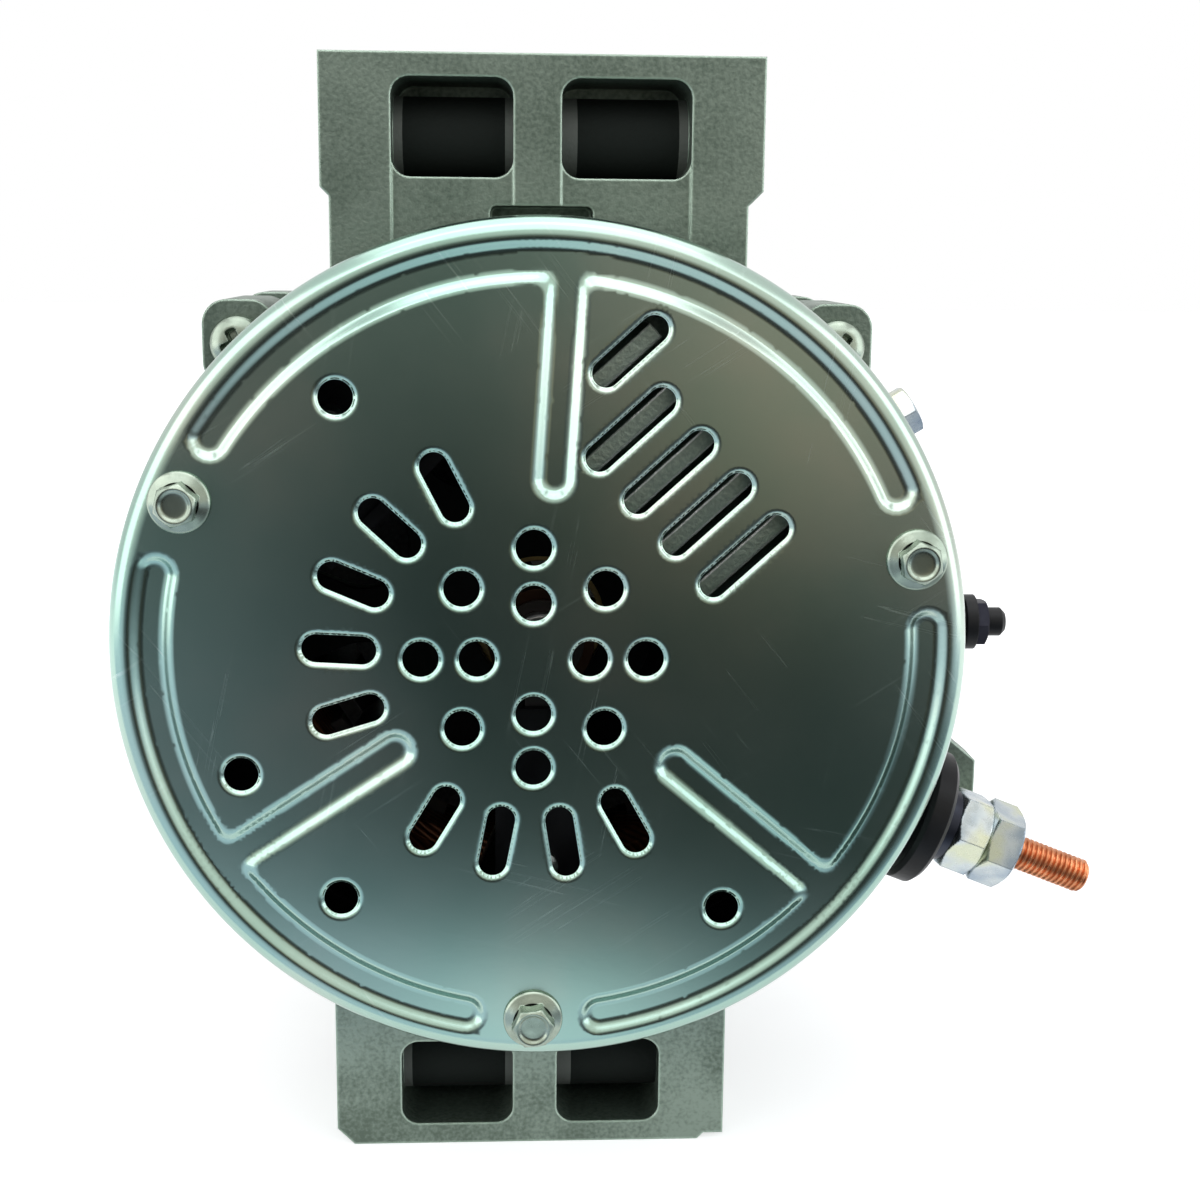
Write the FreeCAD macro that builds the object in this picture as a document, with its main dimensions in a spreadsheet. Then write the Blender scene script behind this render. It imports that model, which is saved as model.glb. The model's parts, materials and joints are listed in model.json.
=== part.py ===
# A heavy-duty alternator with pad mounting, as an assembly of its separate pieces.
# Millimetres and degrees. The shaft runs along Y, the rectifier end faces -Y, the
# pulley end faces +Y and Z is up. The origin is on the shaft's axis, midway between
# the two rows of pad bolts. The pad's machined faces look along -X.
import FreeCAD, Part
import math
import os

import Sketcher
from FreeCAD import Placement, Rotation, Vector

doc = FreeCAD.newDocument("Alternator")

# Driving sizes. Each one is written here once, and the sheet repeats it in a cell.
SIZES = {
    # pad mounting
    "row_spacing": 66.0,           # between the two rows of pad bolts, along the shaft
    "pad_rise": 107.0,             # shaft axis to the centre of a pad bolt
    "pad_reach": 47.0,             # shaft axis to the machined pad face
    "pad_bolt_bore": 10.8,         # clearance bore for an M10 bolt
    "tube_wall": 3.1,              # wall of the cast tube round a pad bolt
    "arm_depth": 30.0,             # a mounting arm, along the shaft
    "arm_top": 123.5,              # shaft axis to the flat end of an arm
    "arm_far_side": 47.5,          # shaft axis to the arm's face opposite the pad
    "arm_inset": 1.9,              # step from the pad's face in to the arm's neck
    "arm_far_inset": 3.2,          # the same step on the opposite side
    "arm_step_rise": 95.7,         # shaft axis to that step
    "arm_floor": 4.0,              # wall that closes a window's far end
    "window_low": 98.0,            # shaft axis to a window's inner edge
    "window_high": 118.6,          # shaft axis to a window's outer edge
    "window_far_edge": 31.9,       # shaft axis to the windows' outer sides
    "window_rib_left": 6.0,        # middle rib's edge on the pad side
    "window_rib_right": 4.2,       # middle rib's other edge
    "window_corner": 4.0,
    "panel_depth": 1.2,            # shallow panel cast below each window
    "arm_root": 62.0,              # where an arm's outline starts inside the casting
    "low_arm_far_side": 43.6,
    "low_arm_chamfer": 4.0,
    "low_arm_notch": 6.1,          # cast relief at the low arm's far corner
    "low_arm_notch_rise": 1.5,
    "low_window_far_edge": 28.2,
    "lifting_slot_width": 22.0,    # dark slot cast between the top arm and the body
    "lifting_slot_top": 92.2,
    "lifting_slot_depth": 12.0,
    # rear cover, pressed from sheet
    "cover_standoff": 27.0,        # cover's face to the rear of the arms
    "cover_radius": 90.0,
    "cover_depth": 19.0,
    "cover_sheet": 1.5,
    "cover_corner": 4.5,
    "bead_ring_radius": 81.0,      # middle line of the ring bead
    "bead_mouth": 7.6,             # width of a bead where it meets the face
    "bead_draft": 1.5,             # how far each wall of a bead leans in
    "bead_depth": 1.5,
    "spoke_inner_end": 37.0,       # centre of a spoke bead's round end
    "vent_hole_bore": 7.6,
    "inner_ring": 11.8,            # square of holes nearest the shaft
    "outer_ring": 23.5,
    "diagonal_ring": 21.1,
    "pattern_across": -1.9,        # centre of the vent pattern from the shaft's axis
    "pattern_up": -0.8,
    "radial_slot_radius": 40.4,
    "radial_slot_length": 15.5,
    "radial_slot_width": 6.0,
    "radial_slot_pitch": 20.0,
    "left_slots_start": 117.0,
    "low_slots_start": 239.0,
    "sink_angle": 42.5,            # lie of the parallel slots and of the fins behind them
    "sink_slot_length": 23.0,
    "sink_slot_width": 5.8,
    "sink_slot_pitch": 11.85,
    "sink_slot_reach": 45.0,       # shaft axis to the row of slots, along the fins
    "sink_slot_first": -12.8,      # first slot's offset across the fins
    "top_slot_reach": 55.5,
    "top_slot_length": 19.0,
    "tool_hole_bore": 7.2,
    "tool_hole_radius": 68.0,
    "top_spoke_angle": 86.5,
    "left_spoke_angle": 213.5,
    "right_spoke_angle": 319.7,
    "top_arc_start": 25.3,         # centres of the round ends of the three arcs
    "top_arc_end": 146.5,
    "left_arc_start": 167.8,
    "left_arc_end": 258.3,
    "right_arc_start": 279.0,
    "right_arc_end": 364.0,
    "upper_left_tool_hole": 128.2,
    "left_tool_hole": 202.0,
    "lower_left_tool_hole": 231.1,
    "lower_right_tool_hole": 304.8,
    "cover_screw_radius": 80.5,
    "left_cover_screw": 156.5,
    "right_cover_screw": 14.7,
    "low_cover_screw": 268.7,
    "cover_screw_bore": 5.6,
    # castings
    "frame_radius": 87.0,
    "joint_radius": 85.0,          # outside of both castings where they clamp the stator
    "rim_wall": 4.5,
    "rim_setback": 14.0,           # cover's face to the rear frame's rim
    "bay_depth": 42.0,             # cover's face to the rear frame's end wall
    "end_wall": 6.0,
    "register_depth": 4.0,         # how far the stator sits in each casting
    "register_step": 2.5,          # ledge that the stator's end bears on
    "front_bay": 21.0,             # stator to the front frame's end wall
    "front_wall": 8.0,
    "nose_radius": 79.0,
    "ear_radius": 91.0,            # shaft axis to a through screw
    "ear_half_width": 8.0,
    "ear_half_height": 9.6,
    "ear_corner": 5.5,
    "ear_angle": 43.0,
    "ear_length": 32.0,
    "front_ear_length": 18.0,
    "ear_bore": 6.6,
    "ear_thread": 6.1,             # tapped bore in the front ears
    "through_head_radius": 6.15,
    "through_head": 4.2,
    "driver_room": 0.8,            # round a through screw's head, for the tool
    "wall_thread": 4.1,            # tapped bores in the end wall
    "post_size": 5.0,
    "post_bore": 4.2,
    "wall_vents": 8.0,
    "wall_vent_inner": 33.0,
    "wall_vent_outer": 74.0,
    "wall_vent_width": 21.0,
    "nose_vents": 10.0,
    "nose_vent_inner": 41.0,
    "nose_vent_outer": 71.0,
    "nose_vent_width": 14.0,
    "side_vent_width": 8.0,
    "side_vent_length": 15.0,
    "side_vent_pitch": 15.0,
    "boss_size": 8.0,              # round bosses on the rear frame's flank
    "output_boss_size": 14.5,
    "output_boss_face": 88.2,
    "signal_boss_face": 92.0,
    "ground_boss_face": 92.6,
    "guard_reach": 106.4,          # cast guard beside the output terminal
    "guard_setback": 51.6,         # cover's face to that guard
    "guard_depth": 10.4,
    # stator
    "stator_offset": 12.0,         # pad's middle to the stator's middle
    "stator_length": 40.0,
    "stator_radius": 79.5,
    "stator_bore": 57.0,
    "slot_count": 36.0,
    "slot_depth": 15.0,
    "slot_width": 5.2,
    "slot_liner": 0.2,             # gap round the copper in a slot
    "winding_overhang": 15.0,
    "winding_inner": 60.0,
    "winding_outer": 75.0,
    # rotor
    "air_gap": 0.5,
    "claw_count": 6.0,
    "pole_length": 46.0,
    "pole_disc": 12.0,
    "claw_length": 40.0,
    "claw_root": 12.0,
    "claw_tip": 4.0,
    "claw_gap_root": 30.0,
    "claw_gap_tip": 45.0,
    "pole_core": 25.0,
    "pole_floor": 44.0,
    "core_radius": 14.5,           # shaft where the poles are pressed on
    "coil_outer": 42.5,
    "coil_gap": 0.8,
    "bobbin_wall": 1.6,
    "tail_radius": 7.0,            # shaft under the slip rings
    "tail_setback": 9.0,           # cover's face to the shaft's rear end
    "sleeve_radius": 9.2,
    "sleeve_length": 20.0,
    "ring_radius": 11.5,
    "ring_width": 6.5,
    "ring_gap": 3.0,
    # bearings
    "rear_bearing_setback": 38.0,  # cover's face to the rear bearing
    "rear_bearing_bore": 17.0,
    "rear_bearing_outside": 40.0,
    "rear_bearing_width": 12.0,
    "rear_roller_count": 12.0,
    "rear_roller_length": 8.4,
    "front_bearing_bore": 25.0,
    "front_bearing_outside": 62.0,
    "front_bearing_width": 17.0,
    "bearing_lip": 2.0,
    "front_roller_count": 12.0,
    "front_roller_length": 12.0,
    "cage_rim": 1.2,               # cage beyond each end of a roller
    "cage_share": 0.3,             # share of the gap between the rings that the cage fills
    "race_wall": 0.29,             # share of the bearing's section taken by each ring
    "hub_wall": 6.0,
    "roller_clearance": 0.05,
    "retainer_plate": 3.0,
    "retainer_inner": 26.0,
    "retainer_screw_bore": 3.4,
    # drive end
    "shaft_nose": 11.0,            # shaft radius under the fan and the pulley
    "spacer_radius": 17.0,
    "spacer_length": 20.0,
    "fan_radius": 75.0,
    "fan_sheet": 2.5,
    "fan_blades": 12.0,
    "blade_height": 12.0,
    "blade_sheet": 2.2,
    "blade_inner": 44.0,
    "blade_sweep": 17.0,           # angle between a blade's inner and outer end
    "pulley_radius": 34.0,
    "pulley_width": 37.0,
    "rib_count": 8.0,
    "rib_pitch": 3.56,
    "rib_depth": 2.9,
    "rib_tip": 0.7,
    "pulley_recess": 25.0,
    "pulley_recess_depth": 9.0,
    "pulley_web": 8.0,
    "pulley_lip": 1.0,             # shoulder above the ribs' tips
    "washer_thickness": 3.0,
    "washer_radius": 17.0,
    "nut_height": 14.0,
    "nut_across": 30.0,
    "thread_radius": 9.9,
    "shaft_end_stand": 3.0,
    # terminals
    "terminal_setback": 35.0,      # cover's face to the terminals' axes
    "output_angle": -21.65,
    "output_aside": -10.0,         # shaft's axis to the output stud's, square to the stud
    "output_seat": 80.3,           # shaft's axis to the bush's shoulder inside the wall
    "output_thread": 8.0,
    "output_neck_radius": 10.5,
    "output_disc_start": 96.6,
    "output_flange_radius": 6.8,
    "output_flange": 2.0,
    "output_tip": 143.0,           # shaft's axis to the output stud's tip
    "output_shank_radius": 3.4,    # stud inside its nuts; its free end is the full thread
    "output_insulator_radius": 16.0,
    "output_disc_face": 102.6,
    "output_hub_radius": 9.5,
    "output_insulator_face": 104.6,
    "output_bush_radius": 5.6,
    "output_washer": 2.4,
    "output_washer_radius": 8.6,
    "output_nut_across": 17.4,
    "output_nut_height": 8.2,
    "output_head_radius": 6.5,
    "output_head_height": 4.0,
    "signal_angle": 0.0,
    "signal_neck_radius": 5.0,
    "signal_flange": 2.6,
    "signal_flange_face": 99.6,
    "signal_flange_radius": 6.3,
    "signal_nut_height": 2.8,
    "signal_nut_across": 9.6,
    "signal_stud_radius": 2.0,
    "signal_cap_radius": 3.3,
    "signal_cap_tip": 106.8,
    "ground_angle": 30.5,
    "ground_head_face": 96.8,
    "ground_head_height": 4.2,
    "ground_across": 10.0,
    # electrics under the cover
    "sink_base": 4.0,
    "sink_near": 28.0,             # shaft axis to the heat sink's inner edge, along the fins
    "sink_far": 73.0,
    "sink_top": 54.0,              # across the fins
    "sink_low": -50.0,
    "fin_far": 62.4,
    "sink_setback": 7.0,           # cover's face to the tips of the fins
    "sink_base_setback": 27.0,     # cover's face to the base that carries the fins
    "fin_thickness": 3.6,
    "fin_from_slot": 0.8,          # a fin's middle to the middle of the slot before it
    "fin_count": 11.0,
    "diode_size": 12.8,
    "diode_height": 5.0,
    "diode_seat": 2.5,
    "diode_radius": 50.0,          # shaft axis to a pair of diodes
    "diode_pin": 0.8,
    "pair_pitch": 45.0,            # between the diode pairs, round the shaft
    "post_radius": 64.0,           # shaft axis to the rectifier's insulating posts
    "middle_post_radius": 68.0,
    "post_outside": 5.0,
    "post_sleeve": 3.0,
    "small_screw": 4.0,            # screws in the end wall
    "small_head_radius": 3.8,
    "small_head": 2.6,
    "insulating_washer": 1.0,
    "rectifier_screw_length": 22.0,
    "phase_bar": 1.5,
    "phase_bar_width": 6.0,
    "phase_bar_setback": 35.5,
    "lead_wire": 1.3,
    "lead_radius": 67.0,           # shaft axis to a stator lead
    "lead_offset": -19.0,          # angle from a diode pair to its stator lead
    "strap_thickness": 3.0,
    "strap_width": 16.0,
    "strap_end": 6.4,              # strap beyond the axis of the post that it is screwed to
    "holder_width": 20.0,
    "holder_top": 14.5,
    "holder_depth": 40.0,
    "holder_wall": 3.0,
    "holder_foot": 10.0,
    "holder_screw_drop": 50.0,     # shaft axis down to the holder's screw
    "brush_length": 18.0,
    "brush_width": 7.0,
    "brush_thickness": 5.4,
    "brush_clearance": 0.15,
    "spring_length": 14.5,
    "spring_radius": 2.1,
    "spring_wire": 0.7,
    "spring_turns": 5.0,
    "regulator_length": 46.0,
    "regulator_width": 30.0,
    "regulator_height": 16.0,
    "regulator_angle": 135.0,
    "regulator_radius": 57.0,
    "regulator_screw_step": 8.0,   # block's middle to each screw, along the radius
    "regulator_rim": 3.0,
    "regulator_potting": 1.5,
    "regulator_screw_length": 21.0,
    "holder_screw_length": 34.0,
    # fits
    "running_gap": 0.05,
    "seat_gap": 0.3,
}

sheet = doc.addObject("Spreadsheet::Sheet", "Sizes")
for row, (name, value) in enumerate(SIZES.items(), 1):
    sheet.set("A%d" % row, name)
    sheet.set("B%d" % row, str(value))
    sheet.setAlias("B%d" % row, name)
doc.recompute()


class Formula:
    """A number together with the sheet's formula that gives it."""

    def __init__(self, value, text):
        self.value = float(value)
        self.text = text

    def __add__(self, other):
        other = formula(other)
        return Formula(self.value + other.value, "(%s + %s)" % (self.text, other.text))

    def __sub__(self, other):
        other = formula(other)
        return Formula(self.value - other.value, "(%s - %s)" % (self.text, other.text))

    def __mul__(self, other):
        other = formula(other)
        return Formula(self.value * other.value, "(%s * %s)" % (self.text, other.text))

    def __truediv__(self, other):
        other = formula(other)
        return Formula(self.value / other.value, "(%s / %s)" % (self.text, other.text))

    def __neg__(self):
        return formula(0) - self

    def __radd__(self, other):
        return formula(other) + self

    def __rsub__(self, other):
        return formula(other) - self

    def __rmul__(self, other):
        return formula(other) * self


def formula(item):
    if isinstance(item, Formula):
        return item
    return Formula(item, "(%.6f)" % item)


def cosine(angle):
    angle = formula(angle)
    return Formula(math.cos(math.radians(angle.value)), "cos(%s)" % angle.text)


def sine(angle):
    angle = formula(angle)
    return Formula(math.sin(math.radians(angle.value)), "sin(%s)" % angle.text)


def arctangent(slope):
    slope = formula(slope)
    return Formula(math.degrees(math.atan(slope.value)), "atan(%s) / 1 deg" % slope.text)


def polar(radius, angle):
    """A place (across, up) at a radius and an angle from +X towards +Z."""
    return radius * cosine(angle), radius * sine(angle)


def turned_place(along, across, angle):
    """A place given along and across a direction that lies at an angle."""
    return (along * cosine(angle) - across * sine(angle),
            along * sine(angle) + across * cosine(angle))


class Sheet:
    """The sheet's cells as formulas, by alias."""

    def __init__(self, names):
        for alias in names:
            setattr(self, alias, Formula(sheet.get(alias), "Sizes." + alias))


s = Sheet(SIZES)

# Stations along the shaft
cover_face = -(s.row_spacing / 2 + s.arm_depth / 2 + s.cover_standoff)
cover_inside = cover_face + s.cover_sheet
rim_rear = cover_face + s.rim_setback
bay_floor = cover_face + s.bay_depth
wall_front = bay_floor + s.end_wall
terminal_station = cover_face + s.terminal_setback
arm_rear = -(s.row_spacing / 2 + s.arm_depth / 2)
stator_rear = s.stator_offset - s.stator_length / 2
stator_front = s.stator_offset + s.stator_length / 2
rear_joint = stator_rear + s.register_depth
front_joint = stator_front - s.register_depth
nose_inside = stator_front + s.front_bay
nose_face = nose_inside + s.front_wall
rear_bearing_at = cover_face + s.rear_bearing_setback
front_bearing_at = nose_face - s.bearing_lip - s.front_bearing_width
pole_rear = s.stator_offset - s.pole_length / 2
pole_front = s.stator_offset + s.pole_length / 2
fan_at = nose_face + s.spacer_length
pulley_at = fan_at + s.fan_sheet
pulley_front = pulley_at + s.pulley_width
washer_at = pulley_front - s.pulley_recess_depth
nut_at = washer_at + s.washer_thickness
shaft_front = nut_at + s.nut_height + s.shaft_end_stand
shaft_rear = cover_face + s.tail_setback

nodes = []


def bind(item, path, size):
    """Tie one property of an object to a formula."""
    size = formula(size)
    item.setExpression(path, size.text)


def body(label):
    made = doc.addObject("PartDesign::Body", label)
    made.Label = label
    return made


def origin_feature(of_body, role):
    for feature in of_body.Origin.OriginFeatures:
        if feature.Role == role:
            return feature
    raise ValueError(role)


class Outline:
    """A sketch on one of a body's own planes, drawn with formulas."""

    def __init__(self, of_body, plane, shift=(0, 0, 0), spin=None):
        """The sketch can be shifted in its plane's own axes and spun about one of them."""
        self.body = of_body
        self.square_to_shaft = plane == "XZ_Plane"
        self.sketch = of_body.newObject("Sketcher::SketchObject", of_body.Label + "_outline")
        self.sketch.AttachmentSupport = [(origin_feature(of_body, plane), "")]
        self.sketch.MapMode = "FlatFace"
        shift = [formula(part) for part in shift]
        axis, angle = spin if spin else (Vector(0, 0, 1), 0)
        angle = formula(angle)
        base = Vector(*[part.value for part in shift])
        self.sketch.AttachmentOffset = Placement(base, Rotation(axis, angle.value))
        for letter, part in zip("xyz", shift):
            bind(self.sketch, "AttachmentOffset.Base." + letter, part)
        if spin:
            bind(self.sketch, "AttachmentOffset.Rotation.Angle", angle)

    def constrain(self, kind, places, size):
        size = formula(size)
        index = self.sketch.addConstraint(Sketcher.Constraint(kind, *places, size.value))
        self.sketch.setExpression("Constraints[%d]" % index, size.text)

    def fix(self, edge, end, spot):
        self.constrain("DistanceX", (-1, 1, edge, end), spot[0])
        self.constrain("DistanceY", (-1, 1, edge, end), spot[1])

    def join(self, kind, first, second):
        self.sketch.addConstraint(Sketcher.Constraint(kind, *first, *second))

    def line(self, start, end):
        edge = Part.LineSegment(Vector(start[0].value, start[1].value, 0),
                                Vector(end[0].value, end[1].value, 0))
        return self.sketch.addGeometry(edge)

    def arc(self, centre, radius, first, last):
        middle = Vector(centre[0].value, centre[1].value, 0)
        circle = Part.Circle(middle, Vector(0, 0, 1), formula(radius).value)
        return self.sketch.addGeometry(Part.ArcOfCircle(circle, math.radians(first), math.radians(last)))

    def polygon(self, corners):
        spots = [(formula(across), formula(up)) for across, up in corners]
        edges = [self.line(spot, spots[(i + 1) % len(spots)]) for i, spot in enumerate(spots)]
        for i, edge in enumerate(edges):
            self.join("Coincident", (edge, 2), (edges[(i + 1) % len(edges)], 1))
            self.fix(edge, 1, spots[i])
        return self

    def circle(self, centre, radius):
        centre = (formula(centre[0]), formula(centre[1]))
        radius = formula(radius)
        middle = Vector(centre[0].value, centre[1].value, 0)
        edge = self.sketch.addGeometry(Part.Circle(middle, Vector(0, 0, 1), radius.value))
        self.fix(edge, 3, centre)
        self.constrain("Radius", (edge,), radius)
        return self

    def slot(self, centre, length, width, angle):
        """A straight slot with round ends, its length measured over the ends."""
        half = (length - width) / 2
        radius = width / 2
        lie = formula(angle).value
        ends = []
        for side in (1, -1):
            along = turned_place(half * side, formula(0), angle)
            ends.append((centre[0] + along[0], centre[1] + along[1]))
        near = self.arc(ends[0], radius, lie - 90, lie + 90)
        far = self.arc(ends[1], radius, lie + 90, lie + 270)
        step = turned_place(formula(0), radius, angle)
        upper = [(end[0] + step[0], end[1] + step[1]) for end in ends]
        lower = [(end[0] - step[0], end[1] - step[1]) for end in ends]
        top = self.line(upper[0], upper[1])
        bottom = self.line(lower[1], lower[0])
        self.join("Tangent", (near, 2), (top, 1))
        self.join("Tangent", (top, 2), (far, 1))
        self.join("Tangent", (far, 2), (bottom, 1))
        self.join("Tangent", (bottom, 2), (near, 1))
        self.fix(near, 3, ends[0])
        self.fix(far, 3, ends[1])
        self.constrain("Radius", (near,), radius)
        return self

    def rounded_box(self, left, right, low, high, radius):
        """An upright rectangle with round corners."""
        left, right, low, high = formula(left), formula(right), formula(low), formula(high)
        radius = formula(radius)
        centres = [(right - radius, high - radius), (left + radius, high - radius),
                   (left + radius, low + radius), (right - radius, low + radius)]
        arcs = [self.arc(spot, radius, 90 * i, 90 * i + 90) for i, spot in enumerate(centres)]
        sides = []
        for i, spot in enumerate(centres):
            after = centres[(i + 1) % 4]
            step = polar(radius, 90.0 * (i + 1))
            sides.append(self.line((spot[0] + step[0], spot[1] + step[1]),
                                   (after[0] + step[0], after[1] + step[1])))
        for i in range(4):
            self.join("Tangent", (arcs[i], 2), (sides[i], 1))
            self.join("Tangent", (sides[i], 2), (arcs[(i + 1) % 4], 1))
        for i in range(4):
            self.fix(arcs[i], 3, centres[i])
        self.constrain("Radius", (arcs[0],), radius)
        return self


def across(of_body, station):
    """A sketch square to the shaft, at a station along it."""
    return Outline(of_body, "XZ_Plane", (0, 0, -formula(station)))


def along_shaft(of_body, angle=90.0, radius=0.0):
    """A sketch that holds the shaft's direction (its own x) and a radius at an angle."""
    place = polar(formula(radius), angle)
    return Outline(of_body, "YZ_Plane", (0, place[1], place[0]),
                   (Vector(1, 0, 0), 90 - formula(angle)))


def facing_out(of_body, angle, distance):
    """A sketch square to a radius, across the shaft and along it, that far out."""
    place = polar(formula(distance), angle)
    return Outline(of_body, "XY_Plane", (place[0], 0, place[1]),
                   (Vector(0, 1, 0), 90 - formula(angle)))


def radially(of_body, station, angle, aside=0.0):
    """A sketch square to the shaft whose own x axis is a radius, or a line beside it."""
    middle = turned_place(formula(0), formula(aside), formula(angle))
    return Outline(of_body, "XZ_Plane", (*middle, -formula(station)), (Vector(0, 0, 1), angle))


def finish_feature(feature, of_body):
    of_body.Tip = feature
    doc.recompute()
    return feature


def pad(outline, length):
    """Material from the outline's station towards the pulley."""
    made = outline.body.newObject("PartDesign::Pad", outline.body.Label + "_pad")
    made.Profile = outline.sketch
    made.Reversed = outline.square_to_shaft
    bind(made, "Length", length)
    return finish_feature(made, outline.body)


def pocket(outline, depth, reverse=False, lean=None):
    """A cut from the outline's station towards the pulley, or the other way if reversed."""
    before = outline.body.Shape.Volume
    made = outline.body.newObject("PartDesign::Pocket", outline.body.Label + "_pocket")
    made.Profile = outline.sketch
    made.Reversed = reverse
    bind(made, "Length", depth)
    if lean is not None:
        bind(made, "TaperAngle", lean)
    finish_feature(made, outline.body)
    if made.Shape.Volume >= before:
        raise RuntimeError("nothing was cut from " + outline.body.Label)
    return made


def both_ways(outline, length, cutting):
    """A pad or a pocket that runs the same length to each side of its sketch."""
    kind = "Pocket" if cutting else "Pad"
    made = outline.body.newObject("PartDesign::" + kind, outline.body.Label + "_through")
    made.Profile = outline.sketch
    made.Midplane = True
    bind(made, "Length", length)
    return finish_feature(made, outline.body)


def pattern(feature, count, total=360.0):
    """Copies of a feature round the shaft."""
    made = feature.getParentGeoFeatureGroup().newObject("PartDesign::PolarPattern", feature.Name + "_round")
    owner = feature.getParentGeoFeatureGroup()
    made.Originals = [feature]
    made.Axis = (origin_feature(owner, "Y_Axis"), [""])
    made.Angle = total
    made.Occurrences = int(round(formula(count).value))
    if isinstance(count, Formula):
        bind(made, "Occurrences", count)
    return finish_feature(made, owner)


def revolve(outline, cutting=False, span=None):
    """Turn an outline about its own x axis, all the way or evenly to both sides."""
    kind = "Groove" if cutting else "Revolution"
    made = outline.body.newObject("PartDesign::" + kind, outline.body.Label + "_turned")
    made.Profile = outline.sketch
    made.ReferenceAxis = (outline.sketch, ["H_Axis"])
    made.Angle = 360
    if span is not None:
        made.Midplane = True
        bind(made, "Angle", span)
    return finish_feature(made, outline.body)


def turned(label, corners):
    """A piece turned about the shaft: corners are (station, radius)."""
    made = body(label)
    revolve(along_shaft(made).polygon(corners))
    return made


def tube(label, start, end, inner, outer):
    return turned(label, [(start, inner), (end, inner), (end, outer), (start, outer)])


def cut_ring(of_body, start, end, inner, outer):
    corners = [(start, inner), (end, inner), (end, outer), (start, outer)]
    return revolve(along_shaft(of_body).polygon(corners), cutting=True)


def add_ring(of_body, start, end, inner, outer):
    corners = [(start, inner), (end, inner), (end, outer), (start, outer)]
    return revolve(along_shaft(of_body).polygon(corners))


def keep(item, label=None):
    """Hand in an object as one of the alternator's pieces."""
    if label:
        item.Label = label
    nodes.append(item)
    return item


def place_radially(item, angle, station, aside=0.0):
    """Turn a piece that was drawn along Y so that Y points outwards from the shaft."""
    angle = formula(angle)
    across, up = turned_place(formula(0), formula(aside), angle)
    place = (across, formula(station), up)
    swing = Rotation(Vector(0, 1, 0), -angle.value).multiply(Rotation(Vector(0, 0, 1), -90))
    item.Placement = Placement(Vector(*[part.value for part in place]), swing)
    for letter, part in zip("xyz", place):
        bind(item, "Placement.Base." + letter, part)
    return item


def copies(label, master, placements):
    """One node that holds a separate copy of a fastener at each placement."""
    links = []
    for number, placement in enumerate(placements, 1):
        link = doc.addObject("App::Link", "%s_%d" % (label, number))
        link.LinkedObject = master
        link.LinkPlacement = placement
        links.append(link)
    made = doc.addObject("Part::Compound", label)
    made.Links = links
    return keep(made, label)


def spots(station, places):
    """Placements that move a piece drawn at the origin to each (across, up) place."""
    station = formula(station)
    return [Placement(Vector(place[0].value, station.value, place[1].value), Rotation())
            for place in places]


def hexagon(outline, across_flats):
    corner = across_flats / 2 / cosine(30.0)
    return outline.polygon([polar(corner, 60.0 * i) for i in range(6)])


def ease_corners(of_body, near, far, across_flats, lean=0.28):
    """Turn the sharp corners of a hexagon back at each end that is given."""
    reach = across_flats * 0.75
    flat = across_flats * 0.49
    for station, sign in ((near, 1), (far, -1)):
        if station is None:
            continue
        fall = (reach - flat) * lean * 2
        corners = [(station, flat), (station, reach), (station + fall * sign, reach)]
        revolve(along_shaft(of_body).polygon(corners), cutting=True)


def nut(label, start, height, across_flats, bore, eased=(True, True)):
    made = body(label)
    outline = across(made, start)
    hexagon(outline, across_flats)
    outline.circle((0, 0), bore)
    pad(outline, height)
    near = start if eased[0] else None
    far = start + height if eased[1] else None
    ease_corners(made, near, far, across_flats)
    return made


def bead_section(start, middle):
    """Across a pressed bead, from the surface that it is pressed into."""
    half = s.bead_mouth / 2
    floor = half - s.bead_draft
    end = start + s.bead_depth
    return [(start, middle - half), (start, middle + half),
            (end, middle + floor), (end, middle - floor)]


def bead_arc(cover, start, end, surface, cutting):
    """A stretch of the ring bead between two angles, with round ends."""
    middle = (start + end) / 2
    revolve(along_shaft(cover, middle).polygon(bead_section(surface, s.bead_ring_radius)),
            cutting, end - start)
    for angle in (start, end):
        corners = [(surface, 0), (surface, s.bead_mouth / 2),
                   (surface + s.bead_depth, s.bead_mouth / 2 - s.bead_draft),
                   (surface + s.bead_depth, 0)]
        revolve(along_shaft(cover, angle, s.bead_ring_radius).polygon(corners), cutting)


def bead_spokes(outline):
    """The three straight beads that run in from the ring bead."""
    length = s.bead_ring_radius - s.spoke_inner_end + s.bead_mouth
    middle = (s.bead_ring_radius + s.spoke_inner_end) / 2
    for angle in (s.top_spoke_angle, s.left_spoke_angle, s.right_spoke_angle):
        outline.slot(polar(middle, angle), length, s.bead_mouth, angle)
    return outline


def beside_shaft(place):
    """A place measured from the middle of the vent pattern."""
    return s.pattern_across + place[0], s.pattern_up + place[1]


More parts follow.
